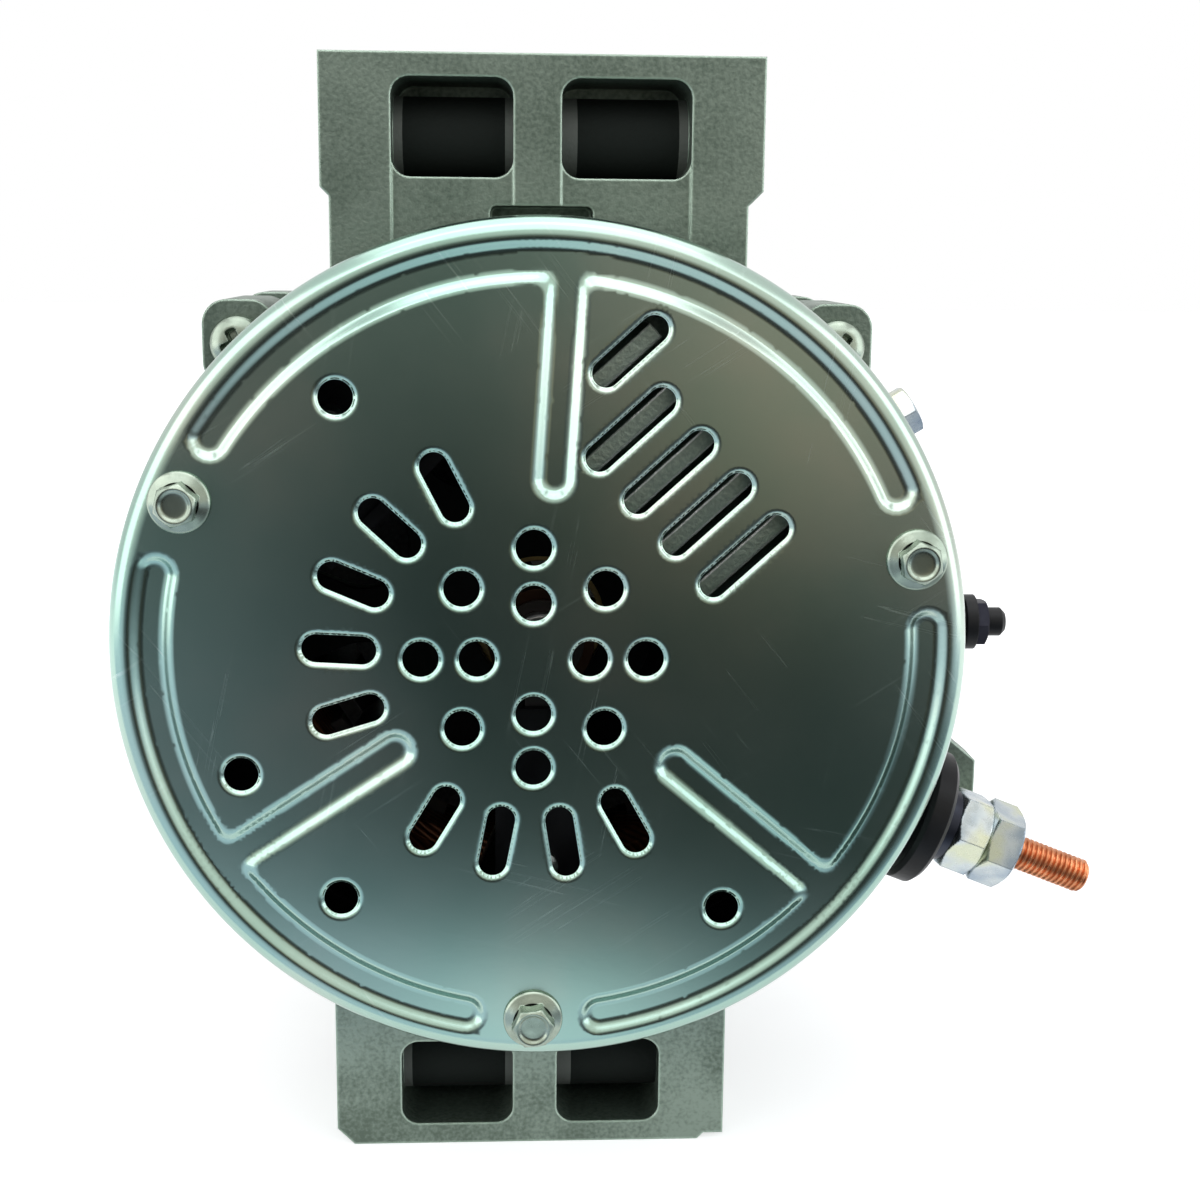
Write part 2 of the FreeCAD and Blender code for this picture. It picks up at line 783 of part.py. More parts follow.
def vent_openings(cover):
    """Every cooling opening: round holes, radial slots and parallel slots."""
    outline = across(cover, cover_face)
    for quarter in range(4):
        for ring, angle in ((s.inner_ring, 0.0), (s.outer_ring, 0.0), (s.diagonal_ring, 45.0)):
            outline.circle(beside_shaft(polar(ring, angle + 90.0 * quarter)), s.vent_hole_bore / 2)
    pocket(outline, s.cover_sheet * 2)
    for start, count in ((s.left_slots_start, 5), (s.low_slots_start, 4)):
        outline = across(cover, cover_face)
        for number in range(count):
            angle = start + s.radial_slot_pitch * number
            outline.slot(beside_shaft(polar(s.radial_slot_radius, angle)),
                         s.radial_slot_length, s.radial_slot_width, angle)
        pocket(outline, s.cover_sheet * 2)
    outline = across(cover, cover_face)
    for number in range(5):
        top = number == 4
        reach = s.top_slot_reach if top else s.sink_slot_reach
        length = s.top_slot_length if top else s.sink_slot_length
        offset = s.sink_slot_first + s.sink_slot_pitch * number
        outline.slot(turned_place(reach, offset, s.sink_angle),
                     length, s.sink_slot_width, s.sink_angle)
    pocket(outline, s.cover_sheet * 2)


def cover_screw_places():
    return [polar(s.cover_screw_radius, angle)
            for angle in (s.left_cover_screw, s.right_cover_screw, s.low_cover_screw)]


def rear_cover():
    """The pressed steel cup over the rectifier, with its beads and cooling openings."""
    rim = cover_face + s.cover_depth
    inner = s.cover_radius - s.cover_sheet
    bend = s.cover_corner
    inner_bend = s.cover_corner - s.cover_sheet
    share = 1 - cosine(45.0)
    cover = turned("rear_cover", [
        (cover_face, 0), (cover_face, s.cover_radius - bend),
        (cover_face + bend * share, s.cover_radius - bend * share),
        (cover_face + bend, s.cover_radius), (rim, s.cover_radius), (rim, inner),
        (cover_inside + inner_bend, inner), (cover_inside, inner - inner_bend),
        (cover_inside, 0)])
    lean = -arctangent(s.bead_draft / s.bead_depth)
    arcs = [(s.top_arc_start, s.top_arc_end), (s.left_arc_start, s.left_arc_end),
            (s.right_arc_start, s.right_arc_end)]
    for surface, cutting in ((cover_inside, False), (cover_face, True)):
        for start, end in arcs:
            bead_arc(cover, start, end, surface, cutting)
        outline = bead_spokes(across(cover, surface))
        if cutting:
            pocket(outline, s.bead_depth, lean=lean)
        else:
            bind(pad(outline, s.bead_depth), "TaperAngle", lean)
            doc.recompute()
    vent_openings(cover)
    holes = across(cover, cover_face)
    for angle in (s.upper_left_tool_hole, s.left_tool_hole,
                  s.lower_left_tool_hole, s.lower_right_tool_hole):
        holes.circle(polar(s.tool_hole_radius, angle), s.tool_hole_bore / 2)
    for place in cover_screw_places():
        holes.circle(place, s.cover_screw_bore / 2)
    pocket(holes, s.cover_sheet * 2)
    return keep(cover)


def ear_places():
    return [polar(s.ear_radius, angle)
            for angle in (s.ear_angle, 180 - s.ear_angle, 180 + s.ear_angle, -s.ear_angle)]


def top_arm_outline(outline):
    """The mounting arm above the shaft, seen from the rear."""
    neck = s.pad_reach - s.arm_inset
    far_neck = s.arm_far_side - s.arm_far_inset
    return outline.polygon([
        (-neck, s.arm_root), (-neck, s.arm_step_rise - s.arm_inset),
        (-s.pad_reach, s.arm_step_rise), (-s.pad_reach, s.arm_top),
        (s.arm_far_side, s.arm_top), (s.arm_far_side, s.arm_step_rise),
        (far_neck, s.arm_step_rise - s.arm_far_inset), (far_neck, s.arm_root)])


def low_arm_outline(outline):
    """The mounting arm below the shaft, with its cast relief at one corner."""
    notch = s.low_arm_far_side - s.low_arm_notch
    return outline.polygon([
        (-s.pad_reach, -s.arm_root), (s.low_arm_far_side, -s.arm_root),
        (s.low_arm_far_side, s.low_arm_notch_rise - s.arm_top),
        (notch + s.low_arm_notch_rise, s.low_arm_notch_rise - s.arm_top),
        (notch, -s.arm_top), (s.low_arm_chamfer - s.pad_reach, -s.arm_top),
        (-s.pad_reach, s.low_arm_chamfer - s.arm_top)])


def arm_windows(outline):
    """The four window openings of a casting, two in each arm."""
    corner = s.window_corner
    for low, high, far in ((s.window_low, s.window_high, s.window_far_edge),
                           (-s.window_high, -s.window_low, s.low_window_far_edge)):
        outline.rounded_box(-s.window_far_edge, -s.window_rib_left, low, high, corner)
        outline.rounded_box(s.window_rib_right, far, low, high, corner)
    return outline


def cored_arms(casting, rear, open_rear):
    """Windows in both arms with the bolt tubes across them, then the bolts' bores."""
    start = rear if open_rear else rear + s.arm_floor
    pocket(arm_windows(across(casting, start)), s.arm_depth - s.arm_floor)
    row = rear + s.arm_depth / 2
    tubes = along_shaft(casting)
    bores = along_shaft(casting)
    for rise in (s.pad_rise, -s.pad_rise):
        tubes.circle((row, rise), s.pad_bolt_bore / 2 + s.tube_wall)
        bores.circle((row, rise), s.pad_bolt_bore / 2)
    both_ways(tubes, (s.window_far_edge + 1) * 2, False)
    both_ways(bores, (s.pad_reach + s.arm_far_side) * 1.2, True)


def add_ears(casting, start, length):
    outline = across(casting, start)
    for place in ear_places():
        middle, rise = place
        outline.rounded_box(middle - s.ear_half_width, middle + s.ear_half_width,
                            rise - s.ear_half_height, rise + s.ear_half_height, s.ear_corner)
    pad(outline, length)


def bore_ears(casting, start, length, bore):
    outline = across(casting, start)
    for place in ear_places():
        outline.circle(place, bore / 2)
    pocket(outline, length)


def flank_boss(casting, angle, radius, face, bore, aside=0.0):
    """A round boss on the casting's flank for a terminal, drilled through the wall."""
    start = s.frame_radius - s.rim_wall * 2
    boss = radially(casting, terminal_station, angle, aside)
    revolve(boss.polygon([(start, 0), (face, 0), (face, radius), (start, radius)]))
    hole = radially(casting, terminal_station, angle, aside)
    corners = [(start, 0), (face + 1, 0), (face + 1, bore), (start, bore)]
    revolve(hole.polygon(corners), cutting=True)


def radial_vents(casting, start, depth, count, inner, outer, width, first):
    """Openings that stand like spokes round a bearing hub."""
    outline = across(casting, start)
    outline.slot(polar((inner + outer) / 2, first), outer - inner, width, first)
    pattern(pocket(outline, depth), count)


def diode_places():
    return [polar(s.diode_radius, s.pair_pitch * number) for number in range(3)]


def post_places():
    """The rectifier's three insulating posts, the strap's own post first."""
    radii = (s.post_radius, s.middle_post_radius, s.post_radius)
    return [polar(radius, s.pair_pitch * number) for number, radius in enumerate(radii)]


def regulator_screw_places():
    return [polar(s.regulator_radius + s.regulator_screw_step * side, s.regulator_angle)
            for side in (-1, 1)]


def holder_screw_places():
    return [(formula(0), -s.holder_screw_drop)]


def wall_screw_places():
    return post_places() + regulator_screw_places() + holder_screw_places()


def rear_frame():
    """The slip-ring end casting: bay, end wall, bearing hub, arms, ears and bosses."""
    casting = turned("rear_frame", [
        (rim_rear, 0), (rim_rear, s.frame_radius), (wall_front, s.frame_radius),
        (rear_joint, s.joint_radius), (rear_joint, 0)])
    pad(top_arm_outline(across(casting, arm_rear)), s.arm_depth)
    pad(low_arm_outline(across(casting, arm_rear)), s.arm_depth)
    ear_rear = rear_joint - s.ear_length
    add_ears(casting, ear_rear, s.ear_length)
    reliefs = across(casting, rim_rear)
    for place in ear_places():
        reliefs.circle(place, s.through_head_radius + s.driver_room)
    pocket(reliefs, ear_rear - rim_rear)
    guard = across(casting, cover_face + s.guard_setback)
    pad(guard.polygon([(s.arm_root, -20), (s.guard_reach - 14, -26), (s.guard_reach - 6, -33),
                       (s.guard_reach, -38), (s.guard_reach, -51), (s.guard_reach - 14, -58),
                       (s.arm_root, -55)]), s.guard_depth)
    flank_boss(casting, s.output_angle, s.output_boss_size, s.output_boss_face,
               s.output_bush_radius, s.output_aside)
    flank_boss(casting, s.signal_angle, s.boss_size, s.signal_boss_face, s.signal_cap_radius)
    flank_boss(casting, s.ground_angle, s.boss_size, s.ground_boss_face, s.ground_across / 4)
    room = s.frame_radius - s.rim_wall
    cut_ring(casting, rim_rear - 1, bay_floor, 0, room)
    ledge = s.stator_radius - s.register_step
    fit = s.stator_radius + s.running_gap
    end = rear_joint + 1
    inside = [(wall_front, 0), (wall_front, ledge), (stator_rear, ledge), (stator_rear, fit),
              (end, fit), (end, 0)]
    revolve(along_shaft(casting).polygon(inside), cutting=True)
    seat = s.rear_bearing_outside / 2
    hub_end = rear_bearing_at + s.rear_bearing_width + 1
    add_ring(casting, rear_bearing_at - s.bearing_lip, hub_end, seat / 2, seat + s.hub_wall)
    cut_ring(casting, rear_bearing_at, hub_end + 1, 0, seat)
    cut_ring(casting, rear_bearing_at - s.bearing_lip - 1, rear_bearing_at, 0, seat * 0.75)
    posts = across(casting, cover_inside)
    for place in cover_screw_places():
        posts.circle(place, s.post_size)
    pad(posts, s.bay_depth - s.cover_sheet)
    threads = across(casting, cover_inside)
    for place in cover_screw_places():
        threads.circle(place, s.post_bore / 2)
    pocket(threads, s.rim_setback)
    radial_vents(casting, bay_floor - 1, s.end_wall + 2, s.wall_vents, s.wall_vent_inner,
                 s.wall_vent_outer, s.wall_vent_width, 22.5)
    threads = across(casting, bay_floor)
    for place in wall_screw_places():
        threads.circle(place, s.wall_thread / 2)
    for place in diode_places():
        threads.circle(place, s.diode_size / 2)
    pocket(threads, s.end_wall)
    cored_arms(casting, arm_rear, True)
    bore_ears(casting, ear_rear, s.ear_length, s.ear_bore)
    panels = across(casting, arm_rear)
    low, high = s.arm_root + 16, s.window_low + s.window_corner
    panels.rounded_box(-s.window_far_edge, -s.window_rib_left, low, high, 1)
    panels.rounded_box(s.window_rib_right, s.window_far_edge, low, high, 1)
    pocket(panels, s.panel_depth)
    lifting = across(casting, arm_rear)
    half = s.lifting_slot_width / 2
    lifting.rounded_box(-half, half, s.frame_radius + 0.5, s.lifting_slot_top, 1.5)
    pocket(lifting, s.lifting_slot_depth)
    return keep(casting)


def front_frame():
    """The drive end casting, with its nose vents and the other pair of arms."""
    casting = turned("front_frame", [
        (front_joint, 0), (front_joint, s.joint_radius), (nose_inside - 6, s.joint_radius),
        (nose_face - 3, s.nose_radius), (nose_face, s.nose_radius - 3), (nose_face, 0)])
    rear = s.row_spacing / 2 - s.arm_depth / 2
    pad(top_arm_outline(across(casting, rear)), s.arm_depth)
    pad(low_arm_outline(across(casting, rear)), s.arm_depth)
    add_ears(casting, front_joint, s.front_ear_length)
    ledge = s.stator_radius - s.register_step
    fit = s.stator_radius + s.running_gap
    around = s.stator_radius + 1
    inside = [(rear - 1, 0), (rear - 1, around), (front_joint, around), (front_joint, fit),
              (stator_front, fit), (stator_front, ledge), (nose_inside, ledge), (nose_inside, 0)]
    revolve(along_shaft(casting).polygon(inside), cutting=True)
    seat = s.front_bearing_outside / 2
    add_ring(casting, front_bearing_at, nose_inside + 1, seat / 2, seat + s.hub_wall)
    cut_ring(casting, front_bearing_at - 1, nose_face - s.bearing_lip, 0, seat)
    cut_ring(casting, nose_face - s.bearing_lip, nose_face + 1, 0, seat * 0.8)
    radial_vents(casting, nose_inside - 1, s.front_wall + 2, s.nose_vents, s.nose_vent_inner,
                 s.nose_vent_outer, s.nose_vent_width, 0.0)
    middle = (stator_front + nose_inside) / 2
    for first in (-2, 10):
        start = s.side_vent_pitch * first
        vent = facing_out(casting, start, s.joint_radius + 2)
        half = s.side_vent_width / 2
        vent.rounded_box(-half, half, middle - s.side_vent_length / 2,
                         middle + s.side_vent_length / 2, half * 0.6)
        cut = pocket(vent, s.joint_radius - ledge + 5)
        turn = pattern(cut, 5)
        turn.Mode = "Spacing"
        bind(turn, "Offset", s.side_vent_pitch)
        turn.Reversed = True
        doc.recompute()
    cored_arms(casting, rear, False)
    bore_ears(casting, front_joint, s.front_ear_length, s.ear_thread)
    retainer = across(casting, front_bearing_at)
    for place in retainer_places():
        retainer.circle(place, s.retainer_screw_bore / 2)
    pocket(retainer, s.front_bearing_width / 2)
    return keep(casting)


def retainer_places():
    radius = s.front_bearing_outside / 2 + s.hub_wall / 2
    return [polar(radius, 45.0 + 90.0 * quarter) for quarter in range(4)]


def stator_core():
    """The laminated ring with its slots."""
    core = tube("stator_core", stator_rear, stator_front, s.stator_bore, s.stator_radius)
    half = s.slot_width / 2
    slot = across(core, stator_rear)
    slot.polygon([(s.stator_bore - 2, -half), (s.stator_bore + s.slot_depth, -half),
                  (s.stator_bore + s.slot_depth, half), (s.stator_bore - 2, half)])
    pattern(pocket(slot, s.stator_length), s.slot_count)
    return keep(core)


def stator_windings():
    """Copper in the slots and the end turns on both sides."""
    low = s.winding_inner
    high = s.winding_outer
    ease = 3
    coils = None
    for near, far in ((stator_rear - 1.5, stator_rear - s.winding_overhang),
                      (stator_front + 1.5, stator_front + s.winding_overhang)):
        back = far + (1 if far.value < near.value else -1) * formula(ease)
        corners = [(near, low), (near, high), (back, high), (far, high - ease),
                   (far, low + ease), (back, low)]
        if coils is None:
            coils = turned("stator_windings", corners)
            half = s.slot_width / 2 - s.slot_liner
            deep = s.stator_bore + s.slot_depth - s.slot_liner
            bar = across(coils, stator_rear - 2)
            bar.polygon([(low, -half), (deep, -half), (deep, half), (low, half)])
            pattern(pad(bar, s.stator_length + 4), s.slot_count)
        else:
            revolve(along_shaft(coils).polygon(corners))
    return keep(coils)


def pan_screw(label, head_radius, head, shank_radius, shank, cross=True):
    """A screw drawn along Y: its seat is at 0 and its head looks along -Y."""
    crown = head * 0.35
    screw = turned(label, [
        (-head, 0), (-head, head_radius * 0.7), (crown - head, head_radius), (0, head_radius),
        (0, shank_radius), (shank, shank_radius), (shank, 0)])
    if cross:
        arm = head_radius * 0.62
        half = head_radius * 0.16
        recess = across(screw, -head)
        recess.polygon([(-arm, -half), (-half, -half), (-half, -arm), (half, -arm), (half, -half),
                        (arm, -half), (arm, half), (half, half), (half, arm), (-half, arm),
                        (-half, half), (-arm, half)])
        pocket(recess, head * 0.5)
    return screw


def cover_screws():
    """Three flanged screws with hexagon heads."""
    flange = formula(1.6)
    screw = turned("cover_screw", [
        (-flange, 0), (-flange, 4.6), (-flange * 0.4, 6.4), (0, 6.4), (0, s.post_bore / 2 - s.running_gap),
        (12, s.post_bore / 2 - s.running_gap), (12, 0)])
    head = formula(4.5)
    pad(hexagon(across(screw, -flange - head), formula(8)), head)
    ease_corners(screw, -flange - head, None, formula(8))
    cut_ring(screw, -flange - head - 1, -flange - head + 0.8, 0, 2.8)
    return copies("cover_screws", screw, spots(cover_face, cover_screw_places()))


def through_screws():
    """Four long screws that clamp the stator between the castings."""
    ear_rear = rear_joint - s.ear_length
    reach = front_joint + s.front_ear_length - ear_rear
    screw = pan_screw("through_screw", s.through_head_radius, s.through_head,
                      s.ear_thread / 2 - s.running_gap, reach)
    return copies("through_screws", screw, spots(ear_rear, ear_places()))


def heat_sink_outline(outline):
    corners = [(s.sink_near, s.sink_top), (s.sink_near, s.sink_low), (54, s.sink_low), (62, -30),
               (s.sink_far, -14), (s.sink_far, 22), (60, 42), (52, s.sink_top)]
    return outline.polygon([turned_place(formula(along), formula(aside), s.sink_angle)
                            for along, aside in corners])


def rectifier_heat_sink():
    """The finned positive plate, whose fins show through the cover's parallel slots."""
    base = cover_face + s.sink_base_setback
    sink = body("rectifier_heat_sink")
    pad(heat_sink_outline(across(sink, base)), s.sink_base)
    tips = cover_face + s.sink_setback
    pitch = s.sink_slot_pitch / 2
    first = s.sink_slot_first - s.fin_from_slot - pitch
    half = s.fin_thickness / 2
    fins = across(sink, tips)
    for number in range(int(SIZES["fin_count"])):
        middle = first + pitch * number
        fins.polygon([turned_place(along, aside, s.sink_angle) for along, aside in
                      ((s.sink_near, middle - half), (s.fin_far, middle - half),
                       (s.fin_far, middle + half), (s.sink_near, middle + half))])
    pad(fins, s.sink_base_setback - s.sink_setback)
    seats = across(sink, base + s.sink_base - s.diode_seat)
    for place in diode_places():
        seats.circle(place, s.diode_size / 2)
    pocket(seats, s.diode_seat)
    holes = across(sink, base)
    for place in post_places():
        holes.circle(place, s.post_sleeve)
    pocket(holes, s.sink_base)
    return keep(sink)


def diodes(label, seat, tip, pin_tip):
    """Three press-fit diodes; the pin points from the body's tip towards the phase bar."""
    diode = turned(label + "_one", [
        (seat, 0), (seat, s.diode_size / 2), (tip, s.diode_size / 2), (tip, s.diode_pin),
        (pin_tip, s.diode_pin), (pin_tip, 0)])
    return copies(label, diode, spots(0, diode_places()))


def phase_parts():
    """Diode pairs that face each other, the bars between them and the stator's leads."""
    bar_rear = cover_face + s.phase_bar_setback
    bar_front = bar_rear + s.phase_bar
    sink_front = cover_face + s.sink_base_setback + s.sink_base
    seat = sink_front - s.diode_seat
    diodes("positive_diodes", seat, seat + s.diode_height, bar_rear)
    seat = bay_floor + s.diode_seat
    diodes("negative_diodes", seat, seat - s.diode_height, bar_front)
    start = polar(s.diode_radius, 0.0)
    end = polar(s.lead_radius, s.lead_offset)
    run = formula(math.dist([part.value for part in start], [part.value for part in end]))
    lie = math.degrees(math.atan2(end[1].value - start[1].value, end[0].value - start[0].value))
    bar = body("phase_bar")
    outline = across(bar, bar_rear)
    outline.slot(((start[0] + end[0]) / 2, (start[1] + end[1]) / 2),
                 run + s.phase_bar_width, s.phase_bar_width, lie)
    pad(outline, s.phase_bar)
    turns = [Placement(Vector(), Rotation(Vector(0, -1, 0), SIZES["pair_pitch"] * number))
             for number in range(3)]
    copies("phase_bars", bar, turns)
    lead = body("stator_lead")
    outline = across(lead, bar_front)
    outline.circle(end, s.lead_wire)
    pad(outline, stator_rear - s.winding_overhang - bar_front)
    copies("stator_leads", lead, turns)


def rectifier_mounting():
    """Insulating posts and washers under the heat sink, and the three screws."""
    base = cover_face + s.sink_base_setback
    front = base + s.sink_base
    bore = s.small_screw / 2
    post = turned("rectifier_post", [
        (base, bore), (base, s.post_sleeve), (front, s.post_sleeve), (front, s.post_outside),
        (bay_floor, s.post_outside), (bay_floor, bore)])
    copies("rectifier_posts", post, spots(0, post_places()))
    washer = tube("rectifier_washer", -s.insulating_washer, formula(0), bore, s.post_outside)
    screw = pan_screw("rectifier_screw", s.small_head_radius, s.small_head, bore,
                      s.rectifier_screw_length)
    strap = spots(base - s.strap_thickness, post_places()[:1])
    plain = spots(base, post_places()[1:])
    copies("rectifier_washers", washer, strap + plain)
    strap = spots(base - s.strap_thickness - s.insulating_washer, post_places()[:1])
    plain = spots(base - s.insulating_washer, post_places()[1:])
    copies("rectifier_screws", screw, strap + plain)


def output_strap():
    """The bent copper strap from the heat sink to the output stud's head."""
    rear = cover_face + s.sink_base_setback - s.strap_thickness
    half = s.strap_width / 2
    tab_far = s.output_seat - s.output_flange
    post = s.post_radius * cosine(s.output_angle)
    rise = -s.post_radius * sine(s.output_angle) - s.output_aside
    strap = body("output_strap")

    def spot(along, aside):
        return turned_place(formula(along), aside + s.output_aside, s.output_angle)

    leg = across(strap, rear)
    leg.polygon([spot(tab_far, -half), spot(tab_far, half), spot(post + half, rise + s.strap_end),
                 spot(post - half, rise + s.strap_end), spot(post - half, rise - half),
                 spot(post + half, -half)])
    leg.circle(post_places()[0], s.small_screw / 2 + s.seat_gap)
    pad(leg, s.strap_thickness)
    tab = across(strap, rear)
    near = tab_far - s.strap_thickness
    tab.polygon([spot(near, -half), spot(tab_far, -half), spot(tab_far, half), spot(near, half)])
    pad(tab, bay_floor - 1 - rear)
    hole = radially(strap, terminal_station, s.output_angle, s.output_aside)
    radius = s.output_thread / 2
    revolve(hole.polygon([(near - 1, 0), (tab_far + 1, 0), (tab_far + 1, radius), (near - 1, radius)]),
            cutting=True)
    return keep(strap)


def radial_piece(label, corners, angle, aside=0.0):
    """A piece turned about a line on the flank: corners are (distance along it, radius)."""
    made = body(label)
    revolve(radially(made, terminal_station, angle, aside).polygon(corners))
    return keep(made)


def output_terminal():
    """The insulated stud that carries the output current, with its washer and two nuts."""
    inner = s.output_seat
    shank = s.output_shank_radius
    line = (s.output_angle, s.output_aside)
    radial_piece("output_insulator", [
        (inner - s.output_flange, shank), (inner - s.output_flange, s.output_flange_radius),
        (inner, s.output_flange_radius), (inner, s.output_bush_radius),
        (s.output_boss_face, s.output_bush_radius), (s.output_boss_face, s.output_neck_radius),
        (s.output_disc_start, s.output_neck_radius),
        (s.output_disc_start, s.output_insulator_radius - 1),
        (s.output_disc_start + 1, s.output_insulator_radius),
        (s.output_disc_face - 1, s.output_insulator_radius),
        (s.output_disc_face, s.output_insulator_radius - 1),
        (s.output_disc_face, s.output_hub_radius),
        (s.output_insulator_face, s.output_hub_radius), (s.output_insulator_face, shank)], *line)
    washer_face = s.output_insulator_face + s.output_washer
    radial_piece("output_washer", [
        (s.output_insulator_face, shank), (s.output_insulator_face, s.output_washer_radius),
        (washer_face, s.output_washer_radius), (washer_face, shank)], *line)
    start = washer_face
    for label in ("output_nut_inner", "output_nut_outer"):
        fastener = nut(label, start, s.output_nut_height, s.output_nut_across, shank)
        keep(place_radially(fastener, s.output_angle, terminal_station, s.output_aside))
        start = start + s.output_nut_height
    head = inner - s.output_flange - s.strap_thickness
    stud = s.output_thread / 2
    radial_piece("output_stud", [
        (head - s.output_head_height, 0), (head - s.output_head_height, s.output_head_radius),
        (head, s.output_head_radius), (head, shank), (start, shank), (start, stud),
        (s.output_tip - 1, stud), (s.output_tip, stud - 1), (s.output_tip, 0)], *line)


def signal_terminal():
    inner = s.frame_radius - s.rim_wall - 1
    stud = s.signal_stud_radius
    flange = s.signal_flange_face - s.signal_flange
    radial_piece("signal_insulator", [
        (inner, stud), (inner, s.signal_cap_radius), (s.signal_boss_face, s.signal_cap_radius),
        (s.signal_boss_face, s.signal_neck_radius), (flange, s.signal_neck_radius),
        (flange, s.signal_flange_radius), (s.signal_flange_face, s.signal_flange_radius),
        (s.signal_flange_face, stud)], s.signal_angle)
    fastener = nut("signal_nut", s.signal_flange_face, s.signal_nut_height,
                   s.signal_nut_across, stud, (False, True))
    keep(place_radially(fastener, s.signal_angle, terminal_station))
    seat = s.signal_flange_face + s.signal_nut_height
    radial_piece("signal_stud", [
        (inner - 4, 0), (inner - 4, stud), (seat, stud), (seat, s.signal_cap_radius),
        (s.signal_cap_tip - 1, s.signal_cap_radius), (s.signal_cap_tip, s.signal_cap_radius - 1),
        (s.signal_cap_tip, 0)], s.signal_angle)


def ground_screw():
    screw = nut("ground_screw", s.ground_boss_face, s.ground_head_height, s.ground_across,
                formula(1), (False, True))
    thread = s.ground_across / 4
    inner = s.frame_radius - s.rim_wall
    cap = s.ground_head_face - 1
    revolve(along_shaft(screw).polygon([(inner, 0), (cap, 0), (cap, thread), (inner, thread)]))
    return keep(place_radially(screw, s.ground_angle, terminal_station))


def regulator():
    """The potted voltage regulator on the end wall."""
    block = body("regulator")
    rear = bay_floor - s.regulator_height

    def corners(inset):
        half = s.regulator_length / 2 - inset
        low = s.regulator_radius - s.regulator_width / 2 + inset
        high = s.regulator_radius + s.regulator_width / 2 - inset
        return [turned_place(along, aside, s.regulator_angle)
                for along, aside in ((low, -half), (high, -half), (high, half), (low, half))]

    pad(across(block, rear).polygon(corners(formula(0))), s.regulator_height)
    pocket(across(block, rear).polygon(corners(s.regulator_rim)), s.regulator_potting)
    holes = across(block, rear)
    for place in regulator_screw_places():
        holes.circle(place, s.small_screw / 2)
    pocket(holes, s.regulator_height)
    keep(block)
    screw = pan_screw("regulator_screw", s.small_head_radius, s.small_head, s.small_screw / 2,
                      s.regulator_screw_length - s.regulator_potting)
    return copies("regulator_screws", screw,
                  spots(rear + s.regulator_potting, regulator_screw_places()))


def slip_ring_stations():
    """The rear edge of each slip ring."""
    start = shaft_rear + 5.5
    return [start, start + s.ring_width + s.ring_gap]


def brush_middles():
    return [start + s.ring_width / 2 for start in slip_ring_stations()]


def brush_gear():
    """The holder below the shaft, its screw, both brushes and the springs behind them."""
    first, last = brush_middles()
    reach = s.brush_thickness / 2 + s.brush_clearance + s.holder_wall
    rear = first - reach
    front = last + reach
    half = s.holder_width / 2
    low = -(s.holder_top + s.holder_depth)
    holder = body("brush_holder")
    pad(across(holder, rear).polygon([(-half, low), (half, low), (half, -s.holder_top),
                                      (-half, -s.holder_top)]), front - rear)
    foot = s.holder_foot / 2
    top = -(s.holder_screw_drop - s.holder_foot)
    pad(across(holder, front).polygon([(-foot, low), (foot, low), (foot, top), (-foot, top)]),
        bay_floor - front)
    side = s.brush_width / 2 + s.brush_clearance
    thick = s.brush_thickness / 2 + s.brush_clearance
    brush_end = s.ring_radius + s.brush_length
    depth = brush_end + s.spring_length - s.holder_top
    wells = facing_out(holder, 270.0, s.holder_top)
    for middle in (first, last):
        wells.polygon([(-side, middle - thick), (side, middle - thick),
                       (side, middle + thick), (-side, middle + thick)])
    pocket(wells, depth, reverse=True)
    hole = across(holder, rear)
    hole.circle(holder_screw_places()[0], s.small_screw / 2)
    pocket(hole, bay_floor - rear)
    keep(holder)
    screw = pan_screw("brush_screw_one", s.small_head_radius, s.small_head, s.small_screw / 2,
                      s.holder_screw_length)
    copies("brush_holder_screw", screw, spots(rear, holder_screw_places()))
    brush = body("brush_one")
    half_width = s.brush_width / 2
    pad(across(brush, -s.brush_thickness / 2).polygon([
        (-half_width, -brush_end), (half_width, -brush_end),
        (half_width, 1 - s.ring_radius), (-half_width, 1 - s.ring_radius)]), s.brush_thickness)
    cut_ring(brush, -s.brush_thickness, s.brush_thickness, 0, s.ring_radius + s.running_gap)
    places = [Placement(Vector(0, middle.value, 0), Rotation()) for middle in (first, last)]
    copies("brushes", brush, places)
    spring = body("brush_spring_one")
    section = across(spring, formula(0))
    wire = s.spring_wire
    start = -(brush_end + s.spring_length)
    section.polygon([(s.spring_radius - wire, start), (s.spring_radius, start),
                     (s.spring_radius, start + wire), (s.spring_radius - wire, start + wire)])
    coil = spring.newObject("PartDesign::AdditiveHelix", "brush_spring_coil")
    coil.Profile = section.sketch
    coil.ReferenceAxis = (section.sketch, ["V_Axis"])
    coil.Mode = "height-turns-angle"
    bind(coil, "Height", s.spring_length - wire)
    bind(coil, "Turns", s.spring_turns)
    finish_feature(coil, spring)
    copies("brush_springs", spring, places)


def around_shaft(count):
    """Placements that repeat a piece round the shaft."""
    return [Placement(Vector(), Rotation(Vector(0, -1, 0), 360.0 * number / count))
            for number in range(count)]


